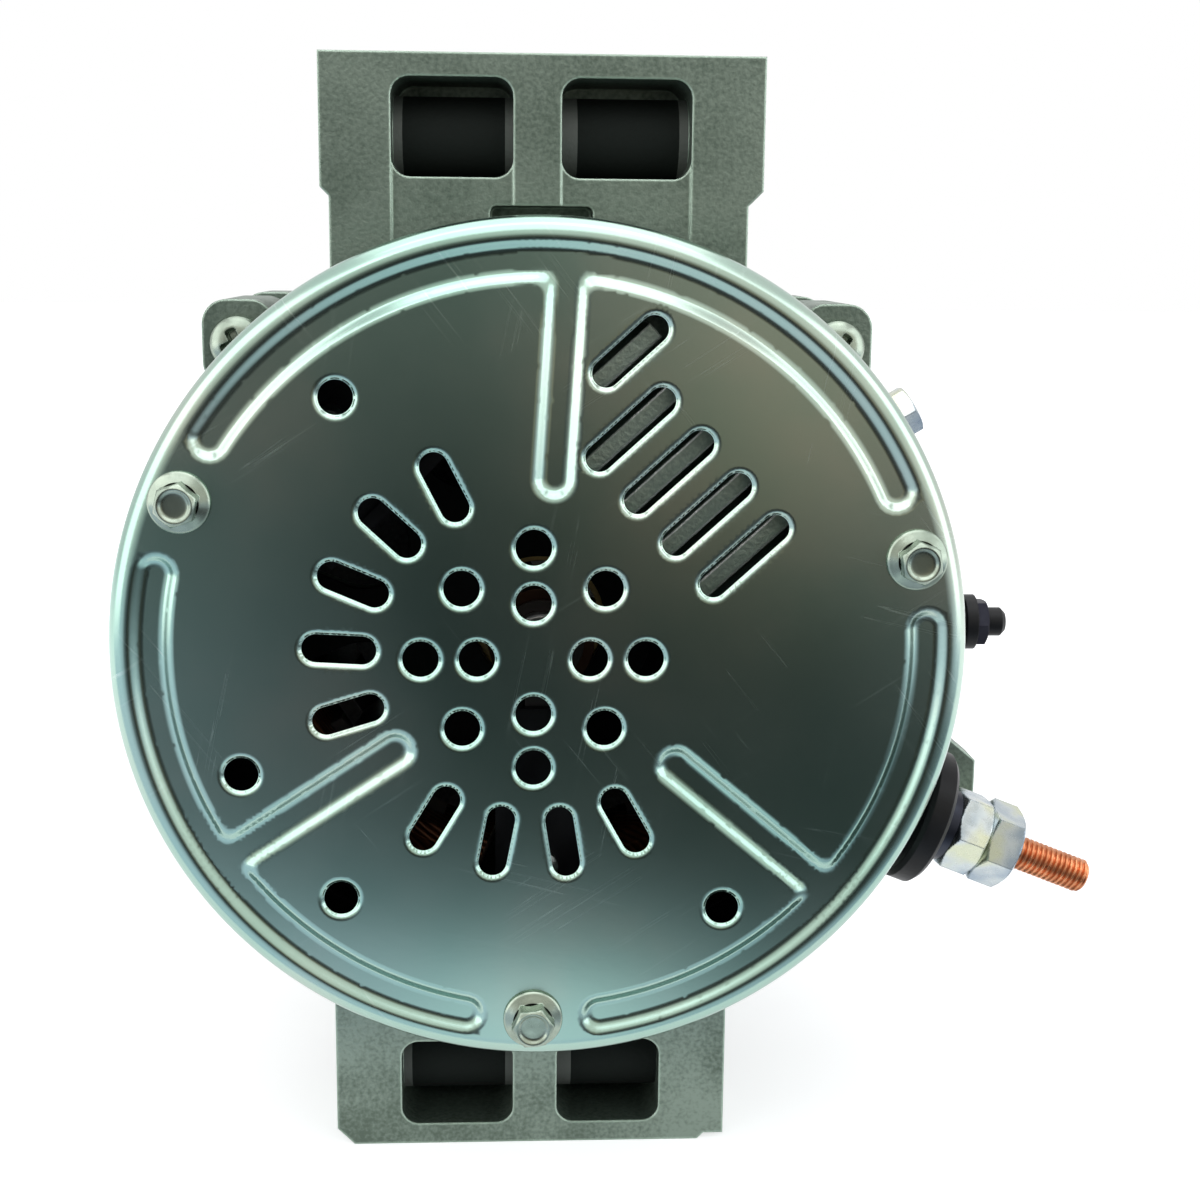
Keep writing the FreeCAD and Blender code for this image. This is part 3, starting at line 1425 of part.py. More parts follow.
def bearing(label, start, width, bore, outside, roller_length, count):
    """Two rings, the rollers that roll between them and the cage that spaces the rollers."""
    section = (outside - bore) / 2
    inner_top = bore / 2 + section * s.race_wall
    outer_low = outside / 2 - section * s.race_wall
    middle = start + width / 2
    pitch = (bore + outside) / 4
    keep(tube(label + "_bearing_inner", start, start + width, bore / 2, inner_top))
    keep(tube(label + "_bearing_outer", start, start + width, outer_low, outside / 2))
    gap = outer_low - inner_top
    half = roller_length / 2
    radius = gap / 2 - s.roller_clearance
    roller = body(label + "_roller")
    end = across(roller, middle - half)
    end.circle((pitch, 0), radius)
    pad(end, roller_length)
    copies(label + "_rollers", roller, around_shaft(int(count.value)))
    reach = half + s.cage_rim
    thin = gap * s.cage_share / 2
    cage = tube(label + "_roller_cage", middle - reach, middle + reach, pitch - thin, pitch + thin)
    window = facing_out(cage, 0.0, pitch + gap / 2)
    side = radius + s.roller_clearance
    window.polygon([(-side, middle - half), (side, middle - half),
                    (side, middle + half), (-side, middle + half)])
    pattern(pocket(window, gap), count)
    keep(cage)


def bearings():
    bearing("rear", rear_bearing_at, s.rear_bearing_width, s.rear_bearing_bore,
            s.rear_bearing_outside, s.rear_roller_length, s.rear_roller_count)
    bearing("front", front_bearing_at, s.front_bearing_width, s.front_bearing_bore,
            s.front_bearing_outside, s.front_roller_length, s.front_roller_count)


def bearing_retainer():
    seat = s.front_bearing_outside / 2
    rear = front_bearing_at - s.retainer_plate
    plate = tube("bearing_retainer", rear, front_bearing_at, s.retainer_inner, seat + s.hub_wall)
    holes = across(plate, rear)
    for place in retainer_places():
        holes.circle(place, s.retainer_screw_bore / 2)
    pocket(holes, s.retainer_plate)
    keep(plate)
    screw = pan_screw("retainer_screw", formula(2.8), formula(2), s.retainer_screw_bore / 2 - s.running_gap,
                      s.front_bearing_width / 2)
    return copies("retainer_screws", screw, spots(rear, retainer_places()))


def rotor_shaft():
    journal = s.rear_bearing_bore / 2
    sleeve_end = slip_ring_stations()[0] - 1.5 + s.sleeve_length
    shoulder = journal + 3.5
    front_shoulder = s.front_bearing_bore / 2 + 3.5
    shaft = turned("rotor_shaft", [
        (shaft_rear, 0), (shaft_rear, s.tail_radius - 0.5), (shaft_rear + 0.5, s.tail_radius),
        (sleeve_end, s.tail_radius), (sleeve_end, journal),
        (rear_bearing_at + s.rear_bearing_width, journal),
        (rear_bearing_at + s.rear_bearing_width, shoulder), (pole_rear, shoulder),
        (pole_rear, s.core_radius), (pole_front, s.core_radius), (pole_front, front_shoulder),
        (front_bearing_at, front_shoulder), (front_bearing_at, s.front_bearing_bore / 2),
        (front_bearing_at + s.front_bearing_width, s.front_bearing_bore / 2),
        (front_bearing_at + s.front_bearing_width, s.shaft_nose), (nut_at, s.shaft_nose),
        (nut_at, s.thread_radius), (shaft_front - 1, s.thread_radius),
        (shaft_front, s.thread_radius - 1), (shaft_front, 0)])
    return keep(shaft)


def rotor_pole(label, face, towards, first):
    """One claw pole: a turned L with the gaps between its claws cut out."""
    top = s.stator_bore - s.air_gap
    root = face + s.pole_disc * towards
    tip = face + s.claw_length * towards
    pole = turned(label, [
        (face, s.core_radius), (face, top), (tip, top), (tip, top - s.claw_tip),
        (root, top - s.claw_root), (root, s.pole_core), (s.stator_offset, s.pole_core),
        (s.stator_offset, s.core_radius)])
    near = s.claw_gap_root / 2
    far = s.claw_gap_tip / 2
    gap = facing_out(pole, first, s.pole_floor)
    gap.polygon([(-near, face - towards), (near, face - towards), (near, root),
                 (far, tip + towards), (-far, tip + towards), (-near, root)])
    pattern(pocket(gap, s.pole_floor, reverse=True), s.claw_count)
    return keep(pole)


def field_winding():
    """The plastic bobbin between the poles and the coil wound in it."""
    rear = pole_rear + s.pole_disc
    front = pole_front - s.pole_disc
    wall = s.bobbin_wall
    core = s.pole_core
    bobbin = turned("field_bobbin", [
        (rear, core), (rear, s.coil_outer), (rear + wall, s.coil_outer), (rear + wall, core + wall),
        (front - wall, core + wall), (front - wall, s.coil_outer), (front, s.coil_outer),
        (front, core)])
    keep(bobbin)
    return keep(tube("field_coil", rear + wall, front - wall, core + wall, s.coil_outer - s.coil_gap))


def slip_rings():
    first = slip_ring_stations()[0] - 1.5
    keep(tube("slip_ring_sleeve", first, first + s.sleeve_length, s.tail_radius, s.sleeve_radius))
    ring = tube("slip_ring_one", formula(0), s.ring_width, s.sleeve_radius, s.ring_radius)
    return copies("slip_rings", ring,
                  [Placement(Vector(0, start.value, 0), Rotation()) for start in slip_ring_stations()])


def cooling_fan():
    """A sheet disc with swept blades towards the casting."""
    fan = tube("cooling_fan", fan_at, pulley_at, s.shaft_nose, s.fan_radius)
    half = s.blade_sheet / 2
    inner = polar(s.blade_inner, 0.0)
    outer = polar(s.fan_radius - 1.5, s.blade_sweep)
    blade = across(fan, fan_at - s.blade_height)
    blade.polygon([(inner[0], inner[1] - half), (outer[0], outer[1] - half),
                   (outer[0], outer[1] + half), (inner[0], inner[1] + half)])
    pattern(pad(blade, s.blade_height), s.fan_blades)
    return keep(fan)


def pulley():
    """The ribbed pulley, recessed on both sides, with its washer and nut."""
    tips = s.pulley_radius - s.pulley_lip
    floor = tips - s.rib_depth
    half = (s.rib_pitch - s.rib_tip) / 2
    first = pulley_at + (s.pulley_width - s.rib_pitch * s.rib_count) / 2
    corners = [(pulley_at, s.shaft_nose), (pulley_at, s.spacer_radius),
               (washer_at - s.pulley_web, s.spacer_radius),
               (washer_at - s.pulley_web, s.pulley_recess), (pulley_at, s.pulley_recess),
               (pulley_at, s.pulley_radius), (first, s.pulley_radius), (first, tips)]
    for number in range(int(SIZES["rib_count"])):
        middle = first + s.rib_pitch * (number + 0.5)
        corners += [(middle - half, tips), (middle, floor), (middle + half, tips)]
    last = first + s.rib_pitch * s.rib_count
    corners += [(last, tips), (last, s.pulley_radius), (pulley_front, s.pulley_radius),
                (pulley_front, s.pulley_recess), (washer_at, s.pulley_recess),
                (washer_at, s.shaft_nose)]
    keep(turned("pulley", corners))
    keep(tube("pulley_washer", washer_at, nut_at, s.shaft_nose, s.washer_radius))
    keep(nut("pulley_nut", nut_at, s.nut_height, s.nut_across, s.thread_radius, (False, True)))


def front_spacer():
    start = front_bearing_at + s.front_bearing_width
    return keep(tube("front_spacer", start, fan_at, s.shaft_nose, s.spacer_radius))


for make in (rear_cover, cover_screws, rear_frame, front_frame, through_screws, stator_core,
             stator_windings, rectifier_heat_sink, phase_parts, rectifier_mounting, output_strap,
             output_terminal, signal_terminal, ground_screw, regulator, brush_gear, bearings,
             bearing_retainer, rotor_shaft, field_winding, slip_rings, cooling_fan,
             pulley, front_spacer):
    make()
rotor_pole("rotor_pole_front", pole_front, -1, 0.0)
rotor_pole("rotor_pole_rear", pole_rear, 1, 30.0)
doc.recompute()

for item in doc.Objects:
    if "Invalid" in item.State or "Error" in item.State:
        raise RuntimeError("%s did not compute" % item.Label)
for node in nodes:
    if node.Shape.isNull() or not node.Shape.isValid() or not node.Shape.Solids:
        raise RuntimeError("%s is not a valid solid" % node.Label)

os.makedirs("parts", exist_ok=True)
for node in nodes:
    node.Shape.exportStep("parts/%s.step" % node.Label)
print("%d pieces written" % len(nodes))
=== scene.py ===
# %% [markdown]
# # An alternator seen from its rectifier end
# The engineering model already holds every piece at its real size and place. This file gives
# those pieces the look of the real machine. Some keep the engineering shape and only get a
# finish. Others, such as the pressed cover, are modelled again with soft pressed edges.
# Sizes are written in millimetres and turned into metres with MM.

import json
import math

import bmesh
import bpy
import numpy as np
from mathutils import Matrix, Vector
from mathutils.geometry import delaunay_2d_cdt
from mathutils.kdtree import KDTree


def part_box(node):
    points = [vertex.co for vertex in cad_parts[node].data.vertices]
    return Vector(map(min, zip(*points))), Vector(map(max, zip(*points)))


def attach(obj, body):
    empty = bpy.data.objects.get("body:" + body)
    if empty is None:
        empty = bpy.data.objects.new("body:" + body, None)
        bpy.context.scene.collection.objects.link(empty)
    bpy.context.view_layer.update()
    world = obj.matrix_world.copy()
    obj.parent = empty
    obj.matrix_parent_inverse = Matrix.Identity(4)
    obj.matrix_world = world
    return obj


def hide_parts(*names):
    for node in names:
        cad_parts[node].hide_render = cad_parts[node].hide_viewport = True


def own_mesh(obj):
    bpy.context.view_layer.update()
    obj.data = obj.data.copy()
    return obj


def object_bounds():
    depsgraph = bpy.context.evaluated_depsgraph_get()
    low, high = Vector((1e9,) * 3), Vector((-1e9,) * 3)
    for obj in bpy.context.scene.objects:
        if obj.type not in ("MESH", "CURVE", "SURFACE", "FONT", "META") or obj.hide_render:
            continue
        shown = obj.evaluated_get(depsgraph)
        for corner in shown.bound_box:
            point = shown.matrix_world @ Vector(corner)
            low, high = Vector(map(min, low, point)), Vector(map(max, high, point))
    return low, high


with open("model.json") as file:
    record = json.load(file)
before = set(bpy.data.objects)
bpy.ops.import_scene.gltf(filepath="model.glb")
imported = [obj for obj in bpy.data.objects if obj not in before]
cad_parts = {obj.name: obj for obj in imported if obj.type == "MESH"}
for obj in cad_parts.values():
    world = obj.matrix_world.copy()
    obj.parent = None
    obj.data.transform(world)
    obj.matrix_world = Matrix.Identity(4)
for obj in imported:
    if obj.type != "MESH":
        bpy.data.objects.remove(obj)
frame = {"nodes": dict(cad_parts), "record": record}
nodes = frame["nodes"]
cad_low, cad_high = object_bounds()
MM = 0.001
print("pieces in the model:", len(nodes))
print("its box in mm:", [round(v / MM, 1) for v in (*cad_low, *cad_high)])

# %% [markdown]
# ## The camera
# The photograph was taken close to the machine, a little above the shaft and turned slightly.
# The three angles and the eye point below were found by matching the round cover, the square
# ends of the arms and the terminals. With a 36 mm sensor the lens is 54 mm long. The picture
# is square, 1200 by 1200.

# %% Camera at the photograph's viewpoint
look_down = math.radians(11.05)
look_aside = math.radians(3.11)
roll = math.radians(0.58)
eye = Vector((-8.05, -440.67, 83.41)) * MM

look = Vector((math.sin(look_aside) * math.cos(look_down),
               math.cos(look_aside) * math.cos(look_down), -math.sin(look_down)))
level = Vector((math.cos(look_aside), -math.sin(look_aside), 0))
upright = level.cross(look)
right = level * math.cos(roll) + upright * math.sin(roll)
up = upright * math.cos(roll) - level * math.sin(roll)

camera = bpy.data.objects.new("camera", bpy.data.cameras.new("camera"))
camera.data.sensor_width = 36
camera.data.lens = 54
camera.matrix_world = Matrix.Translation(eye) @ Matrix((right, up, -look)).transposed().to_4x4()
bpy.context.scene.collection.objects.link(camera)
bpy.context.scene.camera = camera
bpy.context.scene.view_settings.view_transform = "Standard"
print("the camera stands", round((eye - Vector((0, -75 * MM, 0))).length / MM), "mm away")

# %% [markdown]
# ## Node helpers
# A finish is a small network of shader nodes. Setting every value and link of a node takes a
# line each, so three helpers keep the networks short: one feeds a node's inputs with numbers,
# colours or other nodes' outputs, one adds a node with its settings, and the last makes a
# material whose plain values sit on the shader.

# %% Helpers for nodes and materials
def feed(tree, node, inputs):
    """Gives each named input its number, its colour or another node's output."""
    for title, given in inputs.items():
        socket = node.inputs[title]
        if isinstance(given, bpy.types.NodeSocket):
            tree.links.new(given, socket)
        elif isinstance(given, tuple) and len(socket.default_value) > len(given):
            socket.default_value = (*given, 1)
        else:
            socket.default_value = given


def add_node(tree, kind, inputs=None, **values):
    """Adds a node, sets its properties and feeds its inputs."""
    node = tree.nodes.new(kind)
    for name, value in values.items():
        setattr(node, name, value)
    feed(tree, node, inputs or {})
    return node


finishes = {}


def new_material(name, metallic, roughness, color):
    """A material with its shader's plain values set, noted in the table of finishes."""
    made = bpy.data.materials.new(name)
    finishes[name] = made
    made.use_nodes = True
    made.diffuse_color = (*color, 1)
    tree = made.node_tree
    shader = tree.nodes["Principled BSDF"]
    feed(tree, shader, {"Base Color": color, "Metallic": metallic, "Roughness": roughness})
    return tree, shader


print("helpers for nodes and materials ready")

# %% [markdown]
# ## Patterns on a surface
# A real surface is never one flat colour. Noise gives the drift, a colour ramp turns its
# number into tones, and sums and mixes put several patterns together. All of them read
# Object coordinates, which are metres on the piece, so a pattern keeps its real size.

# %% Helpers for patterns
def ramp(tree, source, stops):
    """A colour ramp: stops are (position, grey or colour)."""
    node = add_node(tree, "ShaderNodeValToRGB", {"Fac": source})
    band = node.color_ramp
    while len(band.elements) < len(stops):
        band.elements.new(0.5)
    for element, (position, tone) in zip(band.elements, stops):
        element.position = position
        color = tone if isinstance(tone, tuple) else (tone, tone, tone)
        element.color = (*color, 1)
    return node.outputs["Color"]


def noise(tree, place, scale, detail=3.0, stretch=(1, 1, 1), turn=0.0, seed=0.0):
    """Noise in metres; its grain is turned about Y and then stretched."""
    turned = add_node(tree, "ShaderNodeMapping", {"Vector": place, "Rotation": (0, math.radians(turn), 0)})
    mapped = add_node(tree, "ShaderNodeMapping", {
        "Vector": turned.outputs["Vector"], "Scale": stretch,
        "Location": (seed, seed * 0.7, seed * 0.3)})
    return add_node(tree, "ShaderNodeTexNoise", {
        "Vector": mapped.outputs["Vector"], "Scale": scale, "Detail": detail}).outputs["Fac"]


print("ramp and noise ready")

# %% [markdown]
# ## Sums and mixes
# A finish is laid on in layers: one mask says where the scratches are, another where the
# dirt sits. A sum joins such masks, and a mix lays one colour over another through a mask.
# Many masks are distances on the piece, so a length has a helper too. With these, a finish
# below takes a few lines and no nodes placed by hand.

# %% Sums, mixes and the place on a piece
def calculate(tree, operation, first, second=0.0):
    """One sum on shader values; each side is a number or another node's output."""
    return add_node(tree, "ShaderNodeMath", {0: first, 1: second}, operation=operation).outputs["Value"]


def vectors(tree, operation, first, second=(0, 0, 0)):
    """One sum on colours or places, with its outputs."""
    return add_node(tree, "ShaderNodeVectorMath", {0: first, 1: second}, operation=operation).outputs


def blend(tree, share, below, above):
    """Mixes two colours; each is a plain colour or another node's output."""
    return add_node(tree, "ShaderNodeMix", {"Factor": share, "A": below, "B": above},
                    data_type="RGBA").outputs["Result"]


def surface_place(tree):
    return add_node(tree, "ShaderNodeTexCoord").outputs["Object"]


def surface_axes(tree):
    return add_node(tree, "ShaderNodeSeparateXYZ", {"Vector": surface_place(tree)}).outputs


def length_of(tree, *parts):
    """The length of a line from its parts along the axes."""
    squares = [calculate(tree, "POWER", calculate(tree, "ABSOLUTE", part), 2.0) for part in parts]
    total = squares[0]
    for square in squares[1:]:
        total = calculate(tree, "ADD", total, square)
    return calculate(tree, "SQRT", total)


print("helpers for patterns ready")

# %% [markdown]
# ## Studio
# The machine stands on a pale floor in front of white. Polished metal shows its surroundings,
# so the surroundings matter as much as the lamps: the room behind the camera is dim, the
# sides and the ceiling are bright. That is what draws the bright lines along the pressed
# beads while the flat face stays dark. The world gives a plain light level to the machine,
# and only the camera, mirrors and glass see it as full white.

# %% White surroundings for the camera and in mirrors
world = bpy.data.worlds.new("studio")
bpy.context.scene.world = world
world.use_nodes = True
air = world.node_tree
air.nodes.clear()


def seen_directly(tree):
    """One for rays from the camera, in mirrors and through glass, else zero."""
    rays = add_node(tree, "ShaderNodeLightPath")
    factor = rays.outputs["Is Camera Ray"]
    for other in ("Is Glossy Ray", "Is Transmission Ray"):
        factor = calculate(tree, "MAXIMUM", factor, rays.outputs[other])
    return factor


lit = add_node(air, "ShaderNodeBackground", {"Color": (0.93, 0.97, 1.0), "Strength": 0.3})
white = add_node(air, "ShaderNodeBackground", {"Color": (1, 1, 1)})
final = add_node(air, "ShaderNodeMixShader", {
    0: seen_directly(air), 1: lit.outputs["Background"], 2: white.outputs["Background"]})
add_node(air, "ShaderNodeOutputWorld", {"Surface": final.outputs["Shader"]})
print("surroundings ready")

# %% [markdown]
# ## Floor
# A photographer's paper sweep has no horizon. The floor is pale paper that takes the
# machine's soft shadow. Further out it glows until it equals the white surroundings, so that
# no edge shows. The glow is only seen by the camera and in mirrors, and lights nothing.

# %% Pale paper that fades into the white surroundings
tree, shader = new_material("floor_paper", 0.0, 0.9, (0.6, 0.61, 0.62))
near_glow, far_glow = 0.66, 1.0
shadow_reach, white_reach = 0.22, 0.6
away = vectors(tree, "LENGTH", surface_place(tree))["Value"]
spread = add_node(tree, "ShaderNodeMapRange", {
    "Value": away, "From Min": shadow_reach, "From Max": white_reach,
    "To Min": near_glow, "To Max": far_glow}, clamp=True)
strength = calculate(tree, "MULTIPLY", spread.outputs["Result"], seen_directly(tree))
glow = add_node(tree, "ShaderNodeEmission", {"Strength": strength})
both = add_node(tree, "ShaderNodeAddShader", {0: shader.outputs["BSDF"], 1: glow.outputs["Emission"]})
feed(tree, tree.nodes["Material Output"], {"Surface": both.outputs["Shader"]})
print("the paper glows from", near_glow, "to", far_glow)

# %% [markdown]
# ## The floor's mesh
# The floor is one square, and so are the walls of the card further down. Pieces of the
# machine are lists of points as well, but in millimetres. One helper makes an object from
# either, since the scale is given with the points.

# %% A floor from four points
def mesh_object(name, vertices, faces, scale=MM):
    """An object from plain lists, in millimetres unless another scale is given."""
    mesh = bpy.data.meshes.new(name)
    mesh.from_pydata([tuple(v) for v in np.array(vertices) * scale], [], faces)
    thing = bpy.data.objects.new(name, mesh)
    bpy.context.scene.collection.objects.link(thing)
    return thing


floor_size = 6.0
floor = mesh_object("floor", [(x * floor_size, y * floor_size, cad_low.z) for x, y in
                              ((-1, -1), (1, -1), (1, 1), (-1, 1))], [(0, 1, 2, 3)], 1.0)
floor.data.materials.append(finishes["floor_paper"])
print("floor at", round(cad_low.z / MM, 1), "mm")

# %% [markdown]
# ## A graded card in the mirror
# The flat cover works like a dull mirror, so its tones come from what stands behind the
# camera. A photographer would hang a dark card there and let it get paler towards its ends.
# Emission is the simplest way to paint such a card, because no lamp then changes its tone.
# A helper comes first: it adds a soft round patch of light, as a lit wall further back in
# the room would show.

# %% A soft patch of light
patch_levels = ((0.0, 1.0), (0.2, 0.94), (0.55, 0.28), (1.0, 0.0))


def with_patch(tree, under, middle, reach, color):
    """Adds a soft round patch of light to a colour."""
    away = vectors(tree, "DISTANCE", surface_place(tree), middle)["Value"]
    patch = ramp(tree, calculate(tree, "DIVIDE", away, reach),
                 [(at, tuple(level * part for part in color)) for at, level in patch_levels])
    return vectors(tree, "ADD", under, patch)["Vector"]


print("steps in a patch of light:", len(patch_levels))

# %% [markdown]
# ## The card's tone
# The tone is one formula: the distance to the card's darkest point, in units that differ
# along the three axes, read through a ramp. A second ramp turns it from cool at the floor to
# warm higher up. Both could be painted by hand, but a formula is changed in one place.

# %% Tone and tint by distance and height
tree, shader = new_material("graded_card", 0.0, 0.9, (0.0, 0.0, 0.0))
card_axes = surface_axes(tree)
darkest = Vector((0.065, -0.346, -0.12))
lean_aside, lean_near = 0.65, -0.4
reach_aside, reach_near, reach_up = 0.33, 0.155, 0.29
height = calculate(tree, "ADD", card_axes["Z"], -darkest.z)
sideways = calculate(tree, "ADD", calculate(tree, "MULTIPLY", height, lean_aside), -darkest.x)
sideways = calculate(tree, "ADD", card_axes["X"], sideways)
nearer = calculate(tree, "ADD", calculate(tree, "MULTIPLY", card_axes["X"], lean_near), -darkest.y)
nearer = calculate(tree, "MAXIMUM", calculate(tree, "ADD", card_axes["Y"], nearer), 0.0)
from_darkest = length_of(tree, *[calculate(tree, "DIVIDE", part, reach) for part, reach in (
    (sideways, reach_aside), (nearer, reach_near), (height, reach_up))])
tone = ramp(tree, calculate(tree, "MULTIPLY", from_darkest, 0.5), [
    (0.0, 0.0), (0.15, 0.014), (0.25, 0.078), (0.35, 0.165), (0.45, 0.25), (0.55, 0.6), (0.7, 0.75),
    (0.85, 0.95)])
tint = ramp(tree, calculate(tree, "MULTIPLY", height, 4.0), [
    (0.0, (0.82, 0.96, 1.14)), (0.19, (0.92, 1.03, 1.11)), (0.37, (1.0, 1.03, 1.02)),
    (0.62, (1.0, 0.97, 0.89))])
print("tones read from the card's darkest point", tuple(darkest))

# %% [markdown]
# ## Light on the card
# The tone is tinted by multiplying both colours. Then two patches are added: the warm wall
# at the right and the lit paper in front of the machine. The card gives off this colour and
# mirrors nothing, so its shader's own colour stays black.

# %% Tint, patches and glow
warm_wall = ((0.125, -0.528, 0.02), 0.15, (0.25, 0.195, 0.115))
lit_paper = ((0.004, -0.16, -0.12), 0.085, (0.38, 0.46, 0.42))
shown = vectors(tree, "MULTIPLY", tone, tint)["Vector"]
for patch in (warm_wall, lit_paper):
    shown = with_patch(tree, shown, *patch)
feed(tree, shader, {"Emission Color": shown, "Emission Strength": 1.0})
print("card material ready")

# %% [markdown]
# ## The card's shape
# The card is a strip of floor in front of the machine and a wall behind the camera. It must
# never show or darken anything itself, so rays from the camera, diffuse light and shadows
# pass through it. Only mirrors see it.

# %% The card's strip of floor and its wall
card_floor, card_top = cad_low.z + 0.004, 0.5
card_half, card_front, wall_left, wall_right = 0.75, -0.10, -0.61, -0.47
card = mesh_object("card", [
    (-card_half, wall_left, card_floor), (-card_half, card_front, card_floor),
    (card_half, card_front, card_floor), (card_half, wall_right, card_floor),
    (card_half, wall_right, card_top), (-card_half, wall_left, card_top)],
    [(0, 1, 2, 3), (0, 3, 4, 5)], 1.0)
card.data.materials.append(finishes["graded_card"])
card.visible_camera = False
card.visible_diffuse = False
card.visible_shadow = False
print("the card is", card_top - card_floor, "m high")

# %% [markdown]
# ## Soft lamps
# Large square lamps give soft highlights. A small strong lamp would burn a white spot into
# every rounded edge, so each lamp is over a metre wide and rather weak. The lamps stand
# left, right, in front above and on top, and all of them look at the machine.

# %% Four soft lamps
def soft_lamp(name, place, size, power, tint):
    """A square lamp aimed at the middle of the machine."""
    data = bpy.data.lights.new(name, "AREA")
    data.size = size
    data.energy = power
    data.color = tint
    lamp = bpy.data.objects.new(name, data)
    lamp.location = place
    lamp.rotation_mode = "QUATERNION"
    lamp.rotation_quaternion = (-Vector(place)).to_track_quat("-Z", "Y")
    bpy.context.scene.collection.objects.link(lamp)
    return lamp


soft_lamp("lamp_left", (-1.05, -0.65, 0.45), 1.45, 9.5, (1.0, 0.99, 0.97))
soft_lamp("lamp_right", (1.10, -0.60, 0.35), 1.4, 9.0, (0.95, 0.98, 1.0))
soft_lamp("lamp_front", (0.05, -0.80, 1.05), 1.3, 7.0, (1.0, 1.0, 1.0))
soft_lamp("lamp_top", (0.0, 0.15, 1.3), 1.35, 7.0, (1.0, 1.0, 1.0))
print("four lamps ready")

# %% [markdown]
# ## Finishes
# Four metals carry the picture: pressed sheet with bright zinc, cast aluminium, plated
# fasteners and a copper stud. Each gets a colour that drifts a little over the surface, a
# roughness that drifts with it and a fine relief. A Bevel node rounds the edges' shading,
# which is cheaper than cutting a small round into every edge of the mesh.

# %% Fine relief on rounded edges
def relief(tree, shader, height, depth, edge):
    """Fine relief on edges rounded by a small radius, both in millimetres."""
    rounded = add_node(tree, "ShaderNodeBevel", {"Radius": edge * MM})
    bump = add_node(tree, "ShaderNodeBump", {
        "Height": height, "Normal": rounded.outputs["Normal"], "Strength": 1.0, "Distance": depth * MM})
    feed(tree, shader, {"Normal": bump.outputs["Normal"]})


print("relief helper ready")

# %% [markdown]
# ## Where castings are bright or dark
# The outer edges of a casting are painted brighter: partly metal rubbed bright by handling,
# partly a painted highlight on the rounded edge. The tubes round the bolts are painted dark as
# painted shade in the windows, their collars lighter, partly steel and partly a painted glint,
# and the bay behind the cover is painted dark as painted shade. Each of these is a mask, one
# inside and zero outside. The edge mask compares the true normal with one bent by a Bevel
# node. The others are distances, because the tubes and the bay are round.

# %% Masks for castings
def outer_edge_mask(tree, width):
    """One along outer edges. Cast metal paints them brighter, partly rubbed metal and partly a painted
    highlight; the nuts paint them darker.
    """
    soft = add_node(tree, "ShaderNodeBevel", {"Radius": width * MM}).outputs["Normal"]
    facing = vectors(tree, "DOT_PRODUCT", soft, add_node(tree, "ShaderNodeNewGeometry").outputs["Normal"])
    return ramp(tree, facing["Value"], [(0.86, 1.0), (0.985, 0.0)])


def tube_zones(tree):
    """Masks on the tubes round the pad bolts, painted dark as painted shade, and on the collars at their
    ends, painted lighter, partly steel and partly a painted glint.
    """
    axes = surface_axes(tree)
    row_from_middle, pad_rise, tube_radius = 0.033, 0.107, 0.0086
    outer_end, collar_end, inner_end = 0.0318, 0.0298, 0.0078
    radius = length_of(tree, *[
        calculate(tree, "SUBTRACT", calculate(tree, "ABSOLUTE", axes[name]), middle)
        for name, middle in (("Y", row_from_middle), ("Z", pad_rise))])
    side = calculate(tree, "ABSOLUTE", axes["X"])
    tube = calculate(tree, "MULTIPLY", calculate(tree, "LESS_THAN", radius, tube_radius),
                     calculate(tree, "LESS_THAN", side, outer_end))
    ends = calculate(tree, "MAXIMUM", calculate(tree, "GREATER_THAN", side, collar_end),
                     calculate(tree, "LESS_THAN", side, inner_end))
    return tube, calculate(tree, "MULTIPLY", tube, ends)


bay_radius, bay_floor = 0.0828, -0.0305


def bay_zone(tree):
    """One inside the bay behind the cover, whose walls are painted dark as painted shade."""
    axes = surface_axes(tree)
    radius = length_of(tree, axes["X"], axes["Z"])
    return calculate(tree, "MULTIPLY", calculate(tree, "LESS_THAN", radius, bay_radius),
                     calculate(tree, "LESS_THAN", axes["Y"], bay_floor))


print("masks for castings ready")

# %% [markdown]
# ## Cast metal
# Sand leaves a fine grain on a casting, and the metal cools to a cloudy grey. One noise of
# coarse grain and one of fine grain are added for the colour. The fine one alone also makes
# the relief, so pits and colour agree.

# %% Cast aluminium and iron
# The gain paints the edges brighter: partly rubbed metal, partly a painted highlight.
wear_and_highlight_gain, tube_roughness = 2.6, 0.8
# Painted shade on the tubes and in the bay; the collars are lighter, partly steel and partly a painted
# glint.
tube_shade_color, collar_and_glint_color, bay_shade_color = (0.017, 0.021, 0.019), (0.15, 0.16, 0.15), (0.012, 0.013, 0.013)


